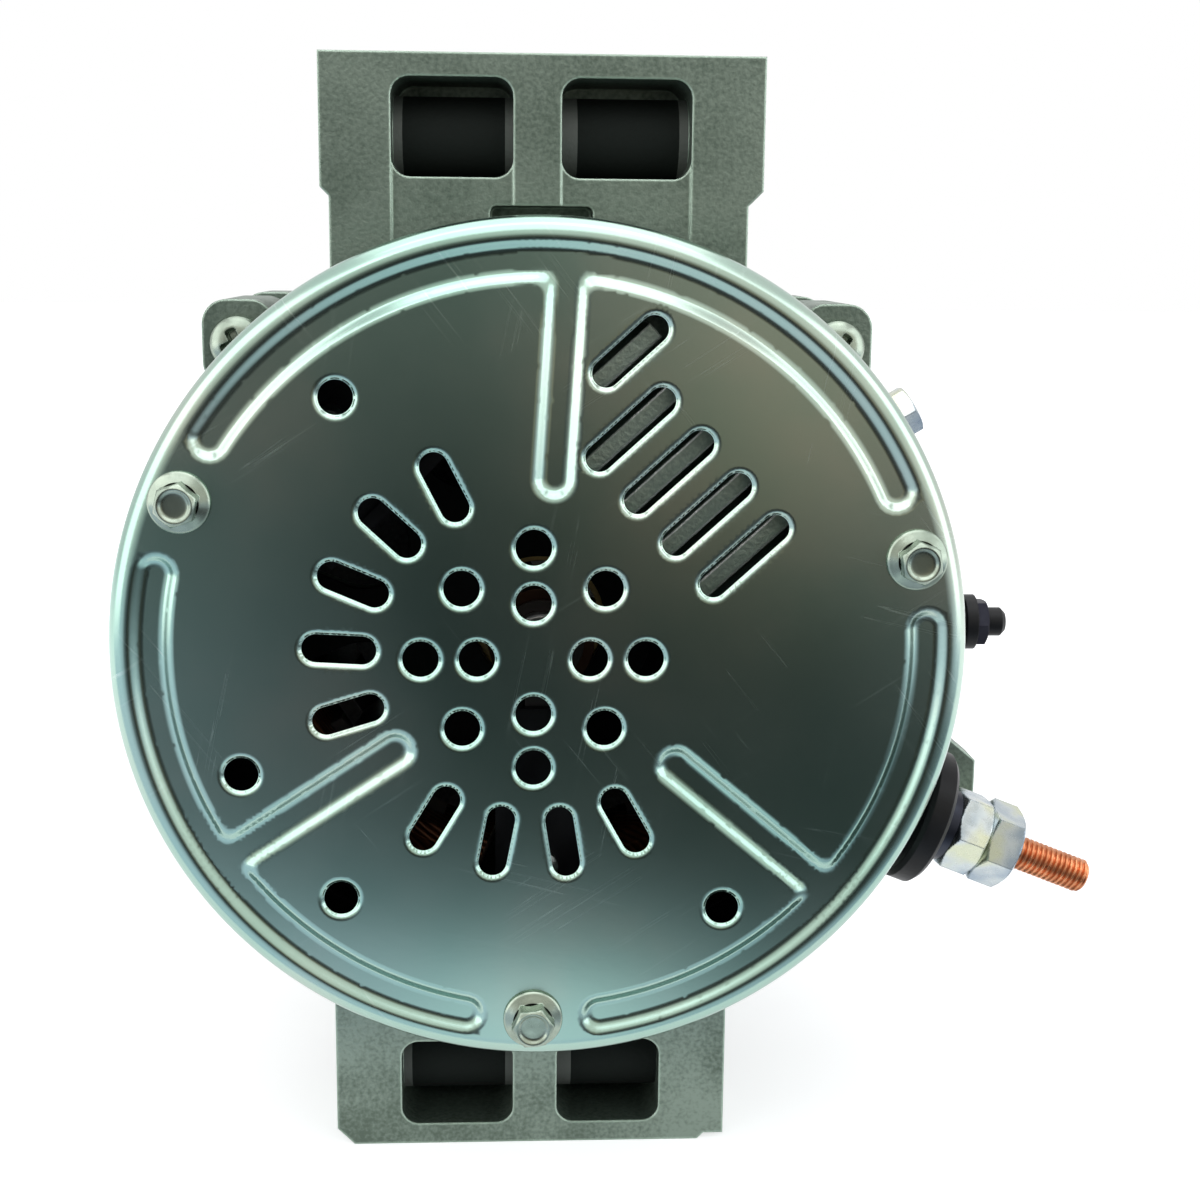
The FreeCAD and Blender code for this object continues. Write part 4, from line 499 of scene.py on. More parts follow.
def cast_metal(name, pale, dark, low, high, tubes=False):
    tree, shader = new_material(name, 0.85, 0.5, pale)
    place = surface_place(tree)
    cloud = noise(tree, place, 45.0, 5.0)
    grain = noise(tree, place, 1100.0, 3.0)
    mottle = calculate(tree, "ADD", calculate(tree, "MULTIPLY", cloud, 0.55),
                       calculate(tree, "MULTIPLY", grain, 0.45))
    color = ramp(tree, mottle, [(0.38, dark), (0.6, pale)])
    wear_and_highlight_color = tuple(min(1.0, part * wear_and_highlight_gain) for part in pale)
    # Edges painted brighter: partly wear, partly a painted highlight.
    color = blend(tree, outer_edge_mask(tree, 0.9), color, wear_and_highlight_color)
    dullness = ramp(tree, mottle, [(0.35, high), (0.65, low)])
    if tubes:
        tube, collar = tube_zones(tree)
        tube_dullness = calculate(tree, "MULTIPLY", tube, tube_roughness)
        dullness = calculate(tree, "MAXIMUM", dullness, tube_dullness)
        # Painted shade on the tubes inside the windows.
        color = blend(tree, tube, color, tube_shade_color)
        # Lighter collars: partly their steel, partly a painted glint.
        color = blend(tree, collar, color, collar_and_glint_color)
        # Painted shade inside the bay behind the cover.
        color = blend(tree, bay_zone(tree), color, bay_shade_color)
    feed(tree, shader, {"Base Color": color, "Roughness": dullness})
    relief(tree, shader, grain, 0.10, 0.7)


cast_metal("cast_aluminium", (0.215, 0.27, 0.228), (0.11, 0.145, 0.117), 0.36, 0.52, tubes=True)
cast_metal("extruded_aluminium", (0.42, 0.52, 0.46), (0.27, 0.34, 0.3), 0.3, 0.45)
cast_metal("pole_iron", (0.16, 0.16, 0.17), (0.09, 0.09, 0.1), 0.45, 0.65)
print("castings finished")

# %% [markdown]
# ## Plated and turned metals
# Zinc plating, ground steel and drawn copper are smooth, so they differ in colour and in how
# sharply they mirror. One function makes them all: colour and roughness wander together over
# the surface. Its last two values say how fine that drift is and how wide the edges are
# rounded, in millimetres.

# %% Plated and turned metals
def smooth_metal(name, pale, dark, low, high, scale=60.0, edge=0.35):
    tree, shader = new_material(name, 1.0, 0.3, pale)
    cloud = noise(tree, surface_place(tree), scale, 5.0)
    feed(tree, shader, {"Base Color": ramp(tree, cloud, [(0.32, dark), (0.68, pale)]),
                        "Roughness": ramp(tree, cloud, [(0.3, high), (0.7, low)])})
    relief(tree, shader, noise(tree, surface_place(tree), 1500.0, 2.0), 0.012, edge)


for row in (("zinc_fastener", (0.66, 0.72, 0.70), (0.48, 0.54, 0.53), 0.26, 0.42, 160.0),
            ("zinc_screw", (0.36, 0.42, 0.35), (0.24, 0.29, 0.24), 0.20, 0.32, 220.0, 0.25),
            ("dark_fastener", (0.05, 0.055, 0.07), (0.02, 0.02, 0.028), 0.3, 0.5),
            ("bearing_steel", (0.72, 0.73, 0.74), (0.6, 0.61, 0.62), 0.14, 0.25),
            ("machined_steel", (0.55, 0.55, 0.55), (0.4, 0.4, 0.4), 0.25, 0.4),
            ("zinc_sheet_plain", (0.33, 0.37, 0.35), (0.27, 0.31, 0.3), 0.24, 0.34, 150.0),
            # bare_copper is painted nearly black: partly brush dust, partly painted shade deep inside the
            # bay.
            ("bare_copper", (0.08, 0.044, 0.03), (0.04, 0.022, 0.015), 0.3, 0.45),
            ("copper_stud", (0.72, 0.30, 0.15), (0.45, 0.16, 0.07), 0.22, 0.38, 300.0, 0.15),
            ("plated_copper", (0.6, 0.57, 0.54), (0.45, 0.42, 0.4), 0.25, 0.4),
            ("cage_brass", (0.75, 0.57, 0.27), (0.6, 0.43, 0.18), 0.25, 0.4),
            ("spring_steel", (0.45, 0.45, 0.46), (0.3, 0.3, 0.31), 0.3, 0.45)):
    smooth_metal(*row)
print("finishes so far:", len(finishes))

# %% [markdown]
# ## Passivated zinc
# The big nuts on the output stud are passivated. The thin film shimmers from blue to straw,
# and the edges are darker and blue-grey. A ramp over slow noise gives the shimmer, and the
# edge mask of the castings gives the darker edges.

# %% Passivated zinc on the big nuts
tree, shader = new_material("passivated_zinc", 1.0, 0.24, (0.55, 0.6, 0.6))
place = surface_place(tree)
film = ramp(tree, noise(tree, place, 95.0, 2.0), [
    (0.36, (0.36, 0.43, 0.50)), (0.5, (0.56, 0.61, 0.62)), (0.62, (0.62, 0.65, 0.50))])
feed(tree, shader, {
    "Base Color": blend(tree, outer_edge_mask(tree, 0.5), film, (0.13, 0.16, 0.19)),
    "Roughness": ramp(tree, noise(tree, place, 400.0), [(0.3, 0.2), (0.7, 0.34)])})
relief(tree, shader, noise(tree, place, 1500.0, 2.0), 0.012, 0.35)
print("nodes in the nuts' finish:", len(tree.nodes))

# %% [markdown]
# ## Plastics and carbon
# Moulded plastic isn't a metal: it has a weak, uncoloured shine over a dark body. The
# specular level is lowered for all of them, since these parts are matt and oily, and the
# grain is that of a spark-eroded mould.

# %% Plastics and carbon
def plain_solid(name, pale, dark, roughness, grain, depth):
    tree, shader = new_material(name, 0.0, roughness, pale)
    cloud = noise(tree, surface_place(tree), 80.0, 3.0)
    feed(tree, shader, {"Specular IOR Level": 0.18,
                        "Base Color": ramp(tree, cloud, [(0.35, dark), (0.65, pale)])})
    relief(tree, shader, noise(tree, surface_place(tree), grain, 2.0), depth, 0.4)


plain_solid("black_plastic", (0.012, 0.0125, 0.014), (0.006, 0.006, 0.007), 0.36, 900.0, 0.03)
plain_solid("potted_plastic", (0.03, 0.03, 0.033), (0.018, 0.018, 0.02), 0.25, 500.0, 0.02)
# insulating_plastic: partly its own dark brown, darkened further as painted shade for the sleeve deep
# inside the bay.
plain_solid("insulating_plastic", (0.026, 0.022, 0.019), (0.018, 0.015, 0.013), 0.5, 700.0, 0.04)
plain_solid("carbon", (0.05, 0.048, 0.045), (0.03, 0.03, 0.03), 0.55, 1500.0, 0.03)
print("plastics finished")

# %% [markdown]
# ## Stacked sheets and wound wire
# The stator's core is a stack of thin sheets, and its coils are wires laid side by side.
# Modelling each sheet or wire would cost millions of triangles for lines thinner than a
# pixel. A Wave texture draws the lines in colour and in relief instead.

# %% Stacked laminations and wound wire
def striped(name, pale, dark, metallic, roughness, pitch, axis):
    """Fine parallel lines across one axis: sheets in a stack or wires side by side."""
    tree, shader = new_material(name, metallic, roughness, pale)
    lines = add_node(tree, "ShaderNodeTexWave", {
        "Vector": surface_place(tree), "Scale": 0.314 / (pitch * MM), "Distortion": 0.4, "Detail": 1.0},
        wave_type="BANDS", bands_direction=axis).outputs["Fac"]
    feed(tree, shader, {"Base Color": ramp(tree, lines, [(0.0, dark), (0.6, pale)])})
    relief(tree, shader, lines, 0.15, 0.3)


striped("laminated_steel", (0.3, 0.3, 0.31), (0.2, 0.2, 0.2), 0.9, 0.45, 1.3, "Y")
striped("copper_winding", (0.22, 0.08, 0.034), (0.09, 0.03, 0.012), 0.6, 0.32, 1.4, "DIAGONAL")
print("finishes so far:", len(finishes))

# %% [markdown]
# ## The pressed cover
# The cover is one disc of zinc-plated sheet. A press has folded its rim back, pushed three
# beads and a ring bead inwards to stiffen it and rolled the rim of every opening. A height
# map over the flat face says all of that in one formula: how far each point lies from the
# nearest bead and from the nearest opening. The points are joined by a Delaunay
# triangulation, which follows the outlines exactly, so light runs cleanly along each edge.

# %% Where the cover's features lie
def polar(radius, degrees):
    return np.array([radius * math.cos(math.radians(degrees)), radius * math.sin(math.radians(degrees))])


face_station, rim_station = -75.0, -56.0
cover_radius, bend_radius, sheet = 90.0, 4.5, 1.5
ring_radius, spoke_root, spoke_tip = 81.0, 77.5, 37.0
spoke_middle, spoke_half = (spoke_root + spoke_tip) / 2, (spoke_root - spoke_tip) / 2
arcs = [(25.3, 146.5), (167.8, 258.3), (279.0, 364.0)]
spokes = [86.5, 213.5, 319.7]
pattern_middle = np.array([-1.9, -0.8])
vent_radius, access_ring, access_radius, screw_ring = 3.8, 68.0, 3.6, 80.5
arc_slot_ring, arc_slot_length, arc_slot_width = 40.4, 15.5, 6.0
sink_lie, sink_slot_width, sink_slot_first, sink_slot_pitch = 42.5, 5.8, -12.8, 11.85

openings = []
for quarter in range(4):
    for ring, angle in ((11.8, 0), (23.5, 0), (21.1, 45)):
        openings.append((pattern_middle + polar(ring, angle + 90 * quarter), 0.0, vent_radius, 0.0))
for first, count in ((117.0, 5), (239.0, 4)):
    for angle in np.arange(count) * 20.0 + first:
        openings.append((pattern_middle + polar(arc_slot_ring, angle),
                         (arc_slot_length - arc_slot_width) / 2, arc_slot_width / 2, angle))
for number in range(5):
    reach, length = (55.5, 19.0) if number == 4 else (45.0, 23.0)
    offset = sink_slot_first + sink_slot_pitch * number
    centre = polar(reach, sink_lie) + polar(offset, sink_lie + 90)
    openings.append((centre, (length - sink_slot_width) / 2, sink_slot_width / 2, sink_lie))
vent_count = len(openings)
for angle in (128.2, 202.0, 231.1, 304.8):
    openings.append((polar(access_ring, angle), 0.0, access_radius, 0.0))
screw_places = [polar(screw_ring, angle) for angle in (156.5, 14.7, 268.7)]
print("openings:", len(openings), "of them vents:", vent_count)

# %% [markdown]
# ## Distances on the face
# A slot is a straight line with one radius round it, a hole is a slot of no length, and a
# bead follows an arc or a line. So the distance to any feature is the distance to a line,
# less a radius. Beads that meet are blended smoothly, as a press can't form a sharp corner.

# %% Distance to a slot and to the beads
def slot_distance(points, centre, half, radius, lie):
    """How far points lie outside a slot; a round hole is a slot with no straight part."""
    axis = polar(1.0, lie)
    away = points - centre
    along = np.clip(away @ axis, -half, half)
    return np.linalg.norm(away - along[:, None] * axis, axis=1) - radius


def arc_distance(points, start, end):
    middle, reach = (start + end) / 2, (end - start) / 2
    turn = np.degrees(np.arctan2(points[:, 1], points[:, 0])) - middle
    turn = np.clip((turn + 180) % 360 - 180, -reach, reach) + middle
    nearest = ring_radius * np.stack([np.cos(np.radians(turn)), np.sin(np.radians(turn))], 1)
    return np.linalg.norm(points - nearest, axis=1)


def bead_distance(points, blend=3.0):
    """Distance to the beads' middle line, blended where a spoke meets the ring."""
    found = None
    for one in ([arc_distance(points, *arc) for arc in arcs]
                + [slot_distance(points, polar(spoke_middle, angle), spoke_half, 0.0, angle)
                   for angle in spokes]):
        if found is None:
            found = one
            continue
        share = np.clip(0.5 + 0.5 * (one - found) / blend, 0, 1)
        found = one * (1 - share) + found * share - blend * share * (1 - share)
    return found


def opening_distance(points):
    return np.min([slot_distance(points, *opening) for opening in openings], axis=0)


print("distance at the shaft to the nearest opening:",
      round(float(opening_distance(np.zeros((1, 2)))[0]), 2), "mm")

# %% [markdown]
# ## Depth of the sheet
# The press leaves soft slopes. Depth is an eased step across the side of a bead, and the lip
# of an opening curls in over its last millimetre. A very slight warp keeps the flat parts
# from mirroring like glass.

# %% How far the sheet is pushed in
bead_depth, bead_half, bead_floor = 1.5, 4.7, 1.9
roll_depth, roll_width = 0.85, 1.25
warp_depth = 0.05


def ease(share):
    share = np.clip(share, 0, 1)
    return share * share * (3 - 2 * share)


def pushed_in(points):
    bead = bead_depth * ease((bead_half - bead_distance(points)) / (bead_half - bead_floor))
    rolled = np.clip(1 - opening_distance(points) / roll_width, 0, 1) ** 2 * roll_depth
    warp = warp_depth * np.sin(points[:, 0] * 0.061 + 1.3) * np.sin(points[:, 1] * 0.048 + 0.4)
    return bead + rolled + warp_depth + warp


print("depth in the ring bead:", round(float(pushed_in(np.array([[0.0, 81.0]]))[0]), 2), "mm")

# %% [markdown]
# ## Outlines
# The edge of each opening must be exact, so it is drawn as a closed row of points with equal
# steps. The same helpers draw rows at a distance from a feature. There the sheet curves, and
# more points are needed than on flat parts.

# %% Points along every outline
def slot_outline(centre, half, radius, lie, step=0.55):
    """Closed outline of a slot, as points about one step apart."""
    arc_points = max(10, int(math.pi * radius / step))
    side_points = int(2 * half / (step * 1.6))
    outline = []
    for end in (1, -1):
        tip = centre + polar(half * end, lie)
        start = lie - 90 if end == 1 else lie + 90
        outline += [tip + polar(radius, start + 180 * i / arc_points) for i in range(arc_points + 1)]
        flat_from = outline[-1]
        flat_to = centre + polar(-half * end, lie) + polar(radius, start + 180)
        outline += [flat_from + (flat_to - flat_from) * (i + 1) / (side_points + 1)
                    for i in range(side_points if half > 0 else 0)]
    if half == 0:
        outline = outline[:arc_points] + outline[arc_points + 1:-1]
    return outline


def arc_outline(start, end, away, step=1.3):
    """Points at one distance from an arc of the ring bead."""
    points = []
    count = int(math.radians(end - start) * ring_radius / step)
    for side in ((1, -1) if away > 0 else (1,)):
        points += [polar(ring_radius + away * side, start + (end - start) * i / count)
                   for i in range(count + 1)]
    for tip, turn in ((end, 0), (start, 180)):
        points += [polar(ring_radius, tip) + polar(away, tip + turn + 180 * i / 10)
                   for i in range(1, 10) if away > 0]
    return points


print("points round one vent:", len(slot_outline(*openings[14])))

# %% [markdown]
# ## Fixed points
# Two kinds of points make the mesh. Fixed points lie on outlines and are joined by edges
# that the triangulation has to keep: the openings and the circle where the rim begins.

# %% Points that the outlines need
points, edges = [], []
for centre, half, radius, lie in openings:
    loop = slot_outline(centre, half, radius, lie)
    first = len(points)
    points += loop
    edges += [(first + i, first + (i + 1) % len(loop)) for i in range(len(loop))]
face_edge = cover_radius - bend_radius
around = 288
first = len(points)
points += [polar(face_edge, 360 * i / around) for i in range(around)]
edges += [(first + i, first + (i + 1) % around) for i in range(around)]
print("fixed points:", len(points))

# %% [markdown]
# ## Loose points
# Loose points follow the slopes of the beads and the lips, fill the corners where beads
# meet, and lie in a wide grid on the flat parts. The ones that fall into an opening or past
# the rim's circle are dropped.

# %% Points that follow the slopes
lip_rows = (0.25, 0.5, 0.8, 1.1, 1.5, 2.2)
bead_rows = (0.0, 1.3, 2.2, 2.55, 2.9, 3.25, 3.6, 3.95, 4.3, 5.2)
grid_step, grid_reach = 3.6, 84
loose = []
for centre, half, radius, lie in openings:
    for grown in lip_rows:
        loose += slot_outline(centre, half, radius + grown, lie, 0.75 + grown * 0.2)
for away in bead_rows:
    for arc in arcs:
        loose += arc_outline(*arc, away)
    for angle in spokes:
        loose += slot_outline(polar(spoke_middle, angle), spoke_half, max(away, 0.05), angle, 1.1)
for angle in spokes:
    grid = np.mgrid[-10:10.1:0.7, -10:10.1:0.7].reshape(2, -1).T
    loose += list(grid + polar(ring_radius - 3, angle))
rows = np.arange(-grid_reach, grid_reach + 0.1, grid_step)
loose += [np.array([x + (grid_step / 2 if i % 2 else 0.0), z]) for i, z in enumerate(rows) for x in rows]
loose = np.array(loose)
clear_of = opening_distance(loose)
loose = loose[(clear_of > 0.2) & (np.linalg.norm(loose, axis=1) < face_edge - 0.4)]
print("loose points:", len(loose))

# %% [markdown]
# ## Thinning
# Rows that belong to two features cross each other, and needle-shaped triangles would show
# as dark specks. A search tree finds the neighbours of each point, and of two that lie too
# close only the first is kept.

# %% Thin out points that crowd each other
finest = 0.24
tree_of_points = KDTree(len(loose))
for i, (x, z) in enumerate(loose):
    tree_of_points.insert((x, z, 0), i)
tree_of_points.balance()
kept = np.ones(len(loose), bool)
for i, (x, z) in enumerate(loose):
    if kept[i]:
        for _, other, _ in tree_of_points.find_range((x, z, 0), finest):
            if other > i:
                kept[other] = False
loose = loose[kept]
print("loose points left:", len(loose))

# %% [markdown]
# ## Triangles
# A Delaunay triangulation joins the points into the fullest triangles it can and keeps the
# given edges. Triangles whose middle lies in an opening are removed, and then every point is
# pushed in by the depth formula.

# %% Triangulate the face and lift it into place
corners = [Vector(p) for p in points] + [Vector(p) for p in loose]
flat, _, triangles, _, _, _ = delaunay_2d_cdt(corners, edges, [], 0, 0.001)
flat = np.array([tuple(v) for v in flat])
triangles = np.array([tuple(t) for t in triangles])
middles = flat[triangles].mean(axis=1)
solid = (opening_distance(middles) > 0) & (np.linalg.norm(middles, axis=1) < face_edge)
triangles = triangles[solid]
depth = pushed_in(flat)
face_points = np.stack([flat[:, 0], face_station + depth, flat[:, 1]], 1)
print("triangles on the face:", len(triangles))

# %% [markdown]
# ## The folded rim
# The rim turns back in a quarter circle and ends in a short straight wall. It is a profile
# turned round the shaft's axis. Its first row takes the depths of the face's last row, so
# both meet without a gap. Screws, thread and springs below are rings of points as well, so
# the rule that joins one ring to the next is written once.

# %% Rows of the folded rim
def between_rings(rings, segments):
    """Faces that join each ring of points to the next one."""
    faces = []
    for row in range(rings - 1):
        for i in range(segments):
            j = (i + 1) % segments
            a, b = row * segments, (row + 1) * segments
            faces.append((a + i, a + j, b + j, b + i))
    return faces


rim_points = []
rim_edge = face_points[np.argsort(np.abs(np.linalg.norm(flat, axis=1) - face_edge))[:around]]
edge_depth = {round(math.degrees(math.atan2(z, x)) * around / 360) % around: y
              for x, y, z in rim_edge}
profile = [(face_edge + bend_radius * math.sin(math.radians(t)),
            bend_radius * (1 - math.cos(math.radians(t)))) for t in (0, 12, 26, 42, 58, 74, 90)]
profile += [(cover_radius, 8.0), (cover_radius, 13.0),
            (cover_radius, rim_station - face_station - 0.6),
            (cover_radius - 0.25, rim_station - face_station)]
for row, (radius, drop) in enumerate(profile):
    for i in range(around):
        x, z = polar(radius, 360 * i / around)
        sunk = edge_depth[i] - face_station if row == 0 else warp_depth * max(0, 1 - row / 3)
        rim_points.append((x, face_station + (sunk if row == 0 else drop + sunk), z))
rim_faces = [(a, d, c, b) for a, b, c, d in between_rings(len(profile), around)]
print("faces of the rim:", len(rim_faces))

# %% [markdown]
# ## Helpers for meshes
# Every piece below is made from plain lists of points and faces. These helpers weld points
# that coincide, turn all faces outwards, and bake modifiers into a plain mesh.

# %% Helpers for meshes
def tidy_mesh(thing, merge=0.00001):
    """Welds points, drops loose ones and turns the faces outwards."""
    work = bmesh.new()
    work.from_mesh(thing.data)
    bmesh.ops.remove_doubles(work, verts=work.verts, dist=merge)
    loose_points = [v for v in work.verts if not v.link_faces]
    bmesh.ops.delete(work, geom=loose_points, context="VERTS")
    bmesh.ops.recalc_face_normals(work, faces=work.faces)
    work.to_mesh(thing.data)
    work.free()


def smoothed(mesh, angle):
    mesh.shade_smooth()
    mesh.set_sharp_from_angle(angle=math.radians(angle))


def applied(thing, angle):
    """Turns the modifiers into a plain mesh, smooth up to an angle between its faces."""
    graph = bpy.context.evaluated_depsgraph_get()
    mesh = bpy.data.meshes.new_from_object(thing.evaluated_get(graph))
    thing.modifiers.clear()
    thing.data = mesh
    smoothed(mesh, angle)


print("helpers for meshes ready")

# %% [markdown]
# ## One sheet
# Face and rim are joined into one mesh. Its first faces are those of the face, which matters
# later for the shading. A sum over the faces' normals tells which way the sheet looks.

# %% Join the face and the rim
offset = len(face_points)
cover = mesh_object("cover_sheet", np.vstack([face_points, rim_points]),
                    [tuple(int(i) for i in t) for t in triangles]
                    + [tuple(offset + i for i in f) for f in rim_faces])
tidy_mesh(cover)
outward = sum(f.normal.y * f.area for f in cover.data.polygons)
print("the face looks", "out" if outward < 0 else "in")

# %% [markdown]
# ## Finish of the cover
# Zinc plating mirrors softly. Its colour drifts in large clouds, and handling has left fine
# scratches. A scratch is a thin level line of noise that is stretched ninety times along one
# direction, and it only shows where a second noise is high.

# %% Bright zinc with fine scratches
tree, shader = new_material("zinc_sheet", 1.0, 0.21, (0.38, 0.53, 0.47))
place = surface_place(tree)
cloud = noise(tree, place, 14.0, 4.0)
grain = noise(tree, place, 700.0, 2.0)
color = ramp(tree, cloud, [(0.3, (0.30, 0.48, 0.415)), (0.5, (0.37, 0.52, 0.455)),
                           (0.7, (0.50, 0.56, 0.485))])
scratched = 0.0
for turn, seed in ((33, 0.0), (-52, 3.0), (78, 7.0), (-14, 11.0)):
    streak = noise(tree, place, 9.0, 2.0, (1.0, 1.0, 90.0), turn, seed)
    fade = ramp(tree, noise(tree, place, 30.0, 1.0, seed=seed), [(0.55, 0.0), (0.68, 0.45)])
    line = ramp(tree, streak, [(0.652, 0.0), (0.662, 1.0), (0.672, 0.0)])
    scratched = calculate(tree, "MAXIMUM", scratched, calculate(tree, "MULTIPLY", line, fade))
dullness = ramp(tree, cloud, [(0.3, 0.19), (0.75, 0.24)])
bump = add_node(tree, "ShaderNodeBump", {"Height": grain, "Distance": 0.004 * MM})
feed(tree, shader, {
    "Base Color": blend(tree, scratched, color, (0.62, 0.72, 0.68)),
    "Roughness": calculate(tree, "ADD", dullness, calculate(tree, "MULTIPLY", scratched, 0.2)),
    "Normal": bump.outputs["Normal"]})
print("nodes in the sheet's finish:", len(tree.nodes))

# %% [markdown]
# ## Thickness and shading
# A Solidify modifier gives the sheet its thickness inwards. The height map knows the slope
# at every point, so the face gets these exact normals. Shading from the triangles alone
# would break the long highlights into facets.

# %% Thickness and exact normals
cover.data.materials.append(finishes["zinc_sheet"])
thickness = cover.modifiers.new("thickness", "SOLIDIFY")
thickness.thickness = sheet * MM
thickness.offset = -1
applied(cover, 42)


def exact_normals(thing, face_count):
    """Gives the pressed face the slope of the height map instead of the triangles' slope."""
    mesh = thing.data
    places = np.empty(len(mesh.vertices) * 3)
    mesh.vertices.foreach_get("co", places)
    flat_places = places.reshape(-1, 3)[:, (0, 2)] / MM
    step = 0.05
    slopes = [(pushed_in(flat_places + way) - pushed_in(flat_places - way)) / (2 * step)
              for way in (np.array([step, 0.0]), np.array([0.0, step]))]
    normals = np.stack([slopes[0], -np.ones(len(flat_places)), slopes[1]], 1)
    normals /= np.linalg.norm(normals, axis=1)[:, None]
    corner_normals = np.zeros((len(mesh.loops), 3))
    for polygon in mesh.polygons[:face_count]:
        for corner in polygon.loop_indices:
            corner_normals[corner] = normals[mesh.loops[corner].vertex_index]
    mesh.normals_split_custom_set(corner_normals.tolist())


exact_normals(cover, len(triangles))
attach(cover, "housing")
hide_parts("rear_cover")
print("cover triangles:", sum(len(f.vertices) - 2 for f in cover.data.polygons))

# %% [markdown]
# ## Screws and nuts
# A hexagon head is a turned piece with six flats milled on it. The same rule makes it here:
# rings of points are laid round an axis, and each point is pulled in to the nearest flat. A
# chamfer is then only a cone, and the curved edges where the flats meet it come by themselves.

# %% Turned pieces with optional flats
def turned_rings(profile, across=None, segments=48):
    """Rings of points round +Y: profile is (axial, radius); across is the hexagon's width."""
    vertices = []
    for axial, radius in profile:
        for i in range(segments):
            angle = 2 * math.pi * i / segments
            flat_at = radius
            if across:
                lean = (math.degrees(angle) + 30) % 60 - 30
                flat_at = across / 2 / math.cos(math.radians(lean))
            reach = min(radius, flat_at)
            vertices.append((reach * math.cos(angle), axial, reach * math.sin(angle)))
    return vertices, between_rings(len(profile), segments)


print("rings of points for a nut:", len(turned_rings([(0, 4), (0, 7), (6, 7), (6, 4)], 13)[0]))

# %% [markdown]
# ## From rings to a finished piece
# A nut is one list of steps along its axis: bore, face, chamfer, flat, and the same back. It
# could be a cylinder with a bevel, but a bevel can't cut the cone that a real nut has on its
# corners. The steps follow from the nut's own size, so one function serves both big nuts. A
# screw head has more steps and lists its own below.

# %% Joined parts, cones and nuts
def joined(*parts):
    vertices, faces = [], []
    for part_vertices, part_faces in parts:
        start = len(vertices)
        vertices += list(part_vertices)
        faces += [tuple(start + i for i in face) for face in part_faces]
    return vertices, faces


def cone(start, end, count=5):
    return [(start[0] + (end[0] - start[0]) * i / count, start[1] + (end[1] - start[1]) * i / count)
            for i in range(count + 1)]


def piece_from(name, part, material, place=Matrix.Identity(4), angle=30):
    """A smooth piece at its place, with the place written into its points."""
    vertices, faces = part
    thing = mesh_object(name, vertices, faces)
    thing.data.transform(place)
    tidy_mesh(thing)
    thing.data.materials.append(material)
    smoothed(thing.data, angle)
    return thing


def nut_profile(start, height, across, bore, bevel=0.7):
    """Steps along a nut: flat faces, corners cut by cones, and a bevel in the bore."""
    corner, cone_from, face_from = across / math.sqrt(3), across * 0.475, across * 0.45
    chamfer = (corner - cone_from) * 0.58
    end = start + height
    return ([(start, bore), (start, face_from)]
            + cone((start, cone_from), (start + chamfer, corner))
            + [(start + chamfer + 0.2, corner), (end - chamfer - 0.2, corner)]
            + cone((end - chamfer, corner), (end, cone_from))
            + [(end, face_from), (end, bore + bevel), (end - bevel, bore)])


print("turned pieces ready")

# %% [markdown]
# ## Three cover screws from one
# The cover is held by three equal screws. Geometry Nodes places one model of the screw on
# each point of a small mesh and turns it by the angle stored there.

# %% One flanged screw with a dished head
cover_screw_height, cover_screw_across = 6.1, 8.0
flange = turned_rings([(0.0, 4.0), (0.0, 6.1), (-0.25, 6.38), (-0.6, 6.4), (-0.85, 6.25), (-1.05, 5.9),
                       (-1.45, 5.2), (-1.9, 4.5), (-2.0, 4.3)])
corner = cover_screw_across / math.sqrt(3)
top = -cover_screw_height
hexagon_head = turned_rings([(-1.5, corner), (-1.9, corner), (top + 0.9, corner)]
                            + cone((top + 0.75, corner), (top + 0.12, 3.75))
                            + [(top, 3.6), (top, 3.4), (top + 0.12, 3.15), (top + 0.45, 2.85),
                               (top + 0.58, 2.6), (top + 0.63, 2.35), (top + 0.65, 2.1),
                               (top + 0.66, 1.2), (top + 0.66, 0.01)],
                            cover_screw_across)
zinc_screw = finishes["zinc_screw"]
cover_screw = piece_from("cover_screw_model", joined(flange, hexagon_head), zinc_screw)
print("faces of one cover screw:", len(cover_screw.data.polygons))

# %% [markdown]
# ## A node tree that places copies
# The tree has named inputs: a mesh whose points are the places, the piece, its size and its
# finish. Each copy turns by the angles stored on its point. Realize Instances and Set
# Material come last, so that the result is an ordinary mesh with its finish.

# %% Place copies with Geometry Nodes
def scatter_tree(name):
    """Puts one piece on every point of a mesh, turned by the point's own angles."""
    tree = bpy.data.node_groups.new(name, "GeometryNodeTree")
    names = {}
    for title, kind, side in (("Points", "NodeSocketGeometry", "INPUT"),
                              ("Piece", "NodeSocketObject", "INPUT"),
                              ("Size", "NodeSocketFloat", "INPUT"),
                              ("Finish", "NodeSocketMaterial", "INPUT"),
                              ("Pieces", "NodeSocketGeometry", "OUTPUT")):
        names[title] = tree.interface.new_socket(title, in_out=side, socket_type=kind).identifier
    given = tree.nodes.new("NodeGroupInput").outputs
    piece = add_node(tree, "GeometryNodeObjectInfo", {"Object": given["Piece"]})
    angles = add_node(tree, "GeometryNodeInputNamedAttribute", {"Name": "turn"},
                      data_type="FLOAT_VECTOR")
    placed = add_node(tree, "GeometryNodeInstanceOnPoints",
                      {"Points": given["Points"], "Instance": piece.outputs["Geometry"],
                       "Rotation": angles.outputs["Attribute"], "Scale": given["Size"]})
    real = add_node(tree, "GeometryNodeRealizeInstances", {"Geometry": placed.outputs["Instances"]})
    finished = add_node(tree, "GeometryNodeSetMaterial",
                        {"Geometry": real.outputs["Geometry"], "Material": given["Finish"]})
    add_node(tree, "NodeGroupOutput", {"Pieces": finished.outputs["Geometry"]})
    return tree, names


scatter, scatter_inputs = scatter_tree("scatter_pieces")
print("nodes in the tree:", len(scatter.nodes))

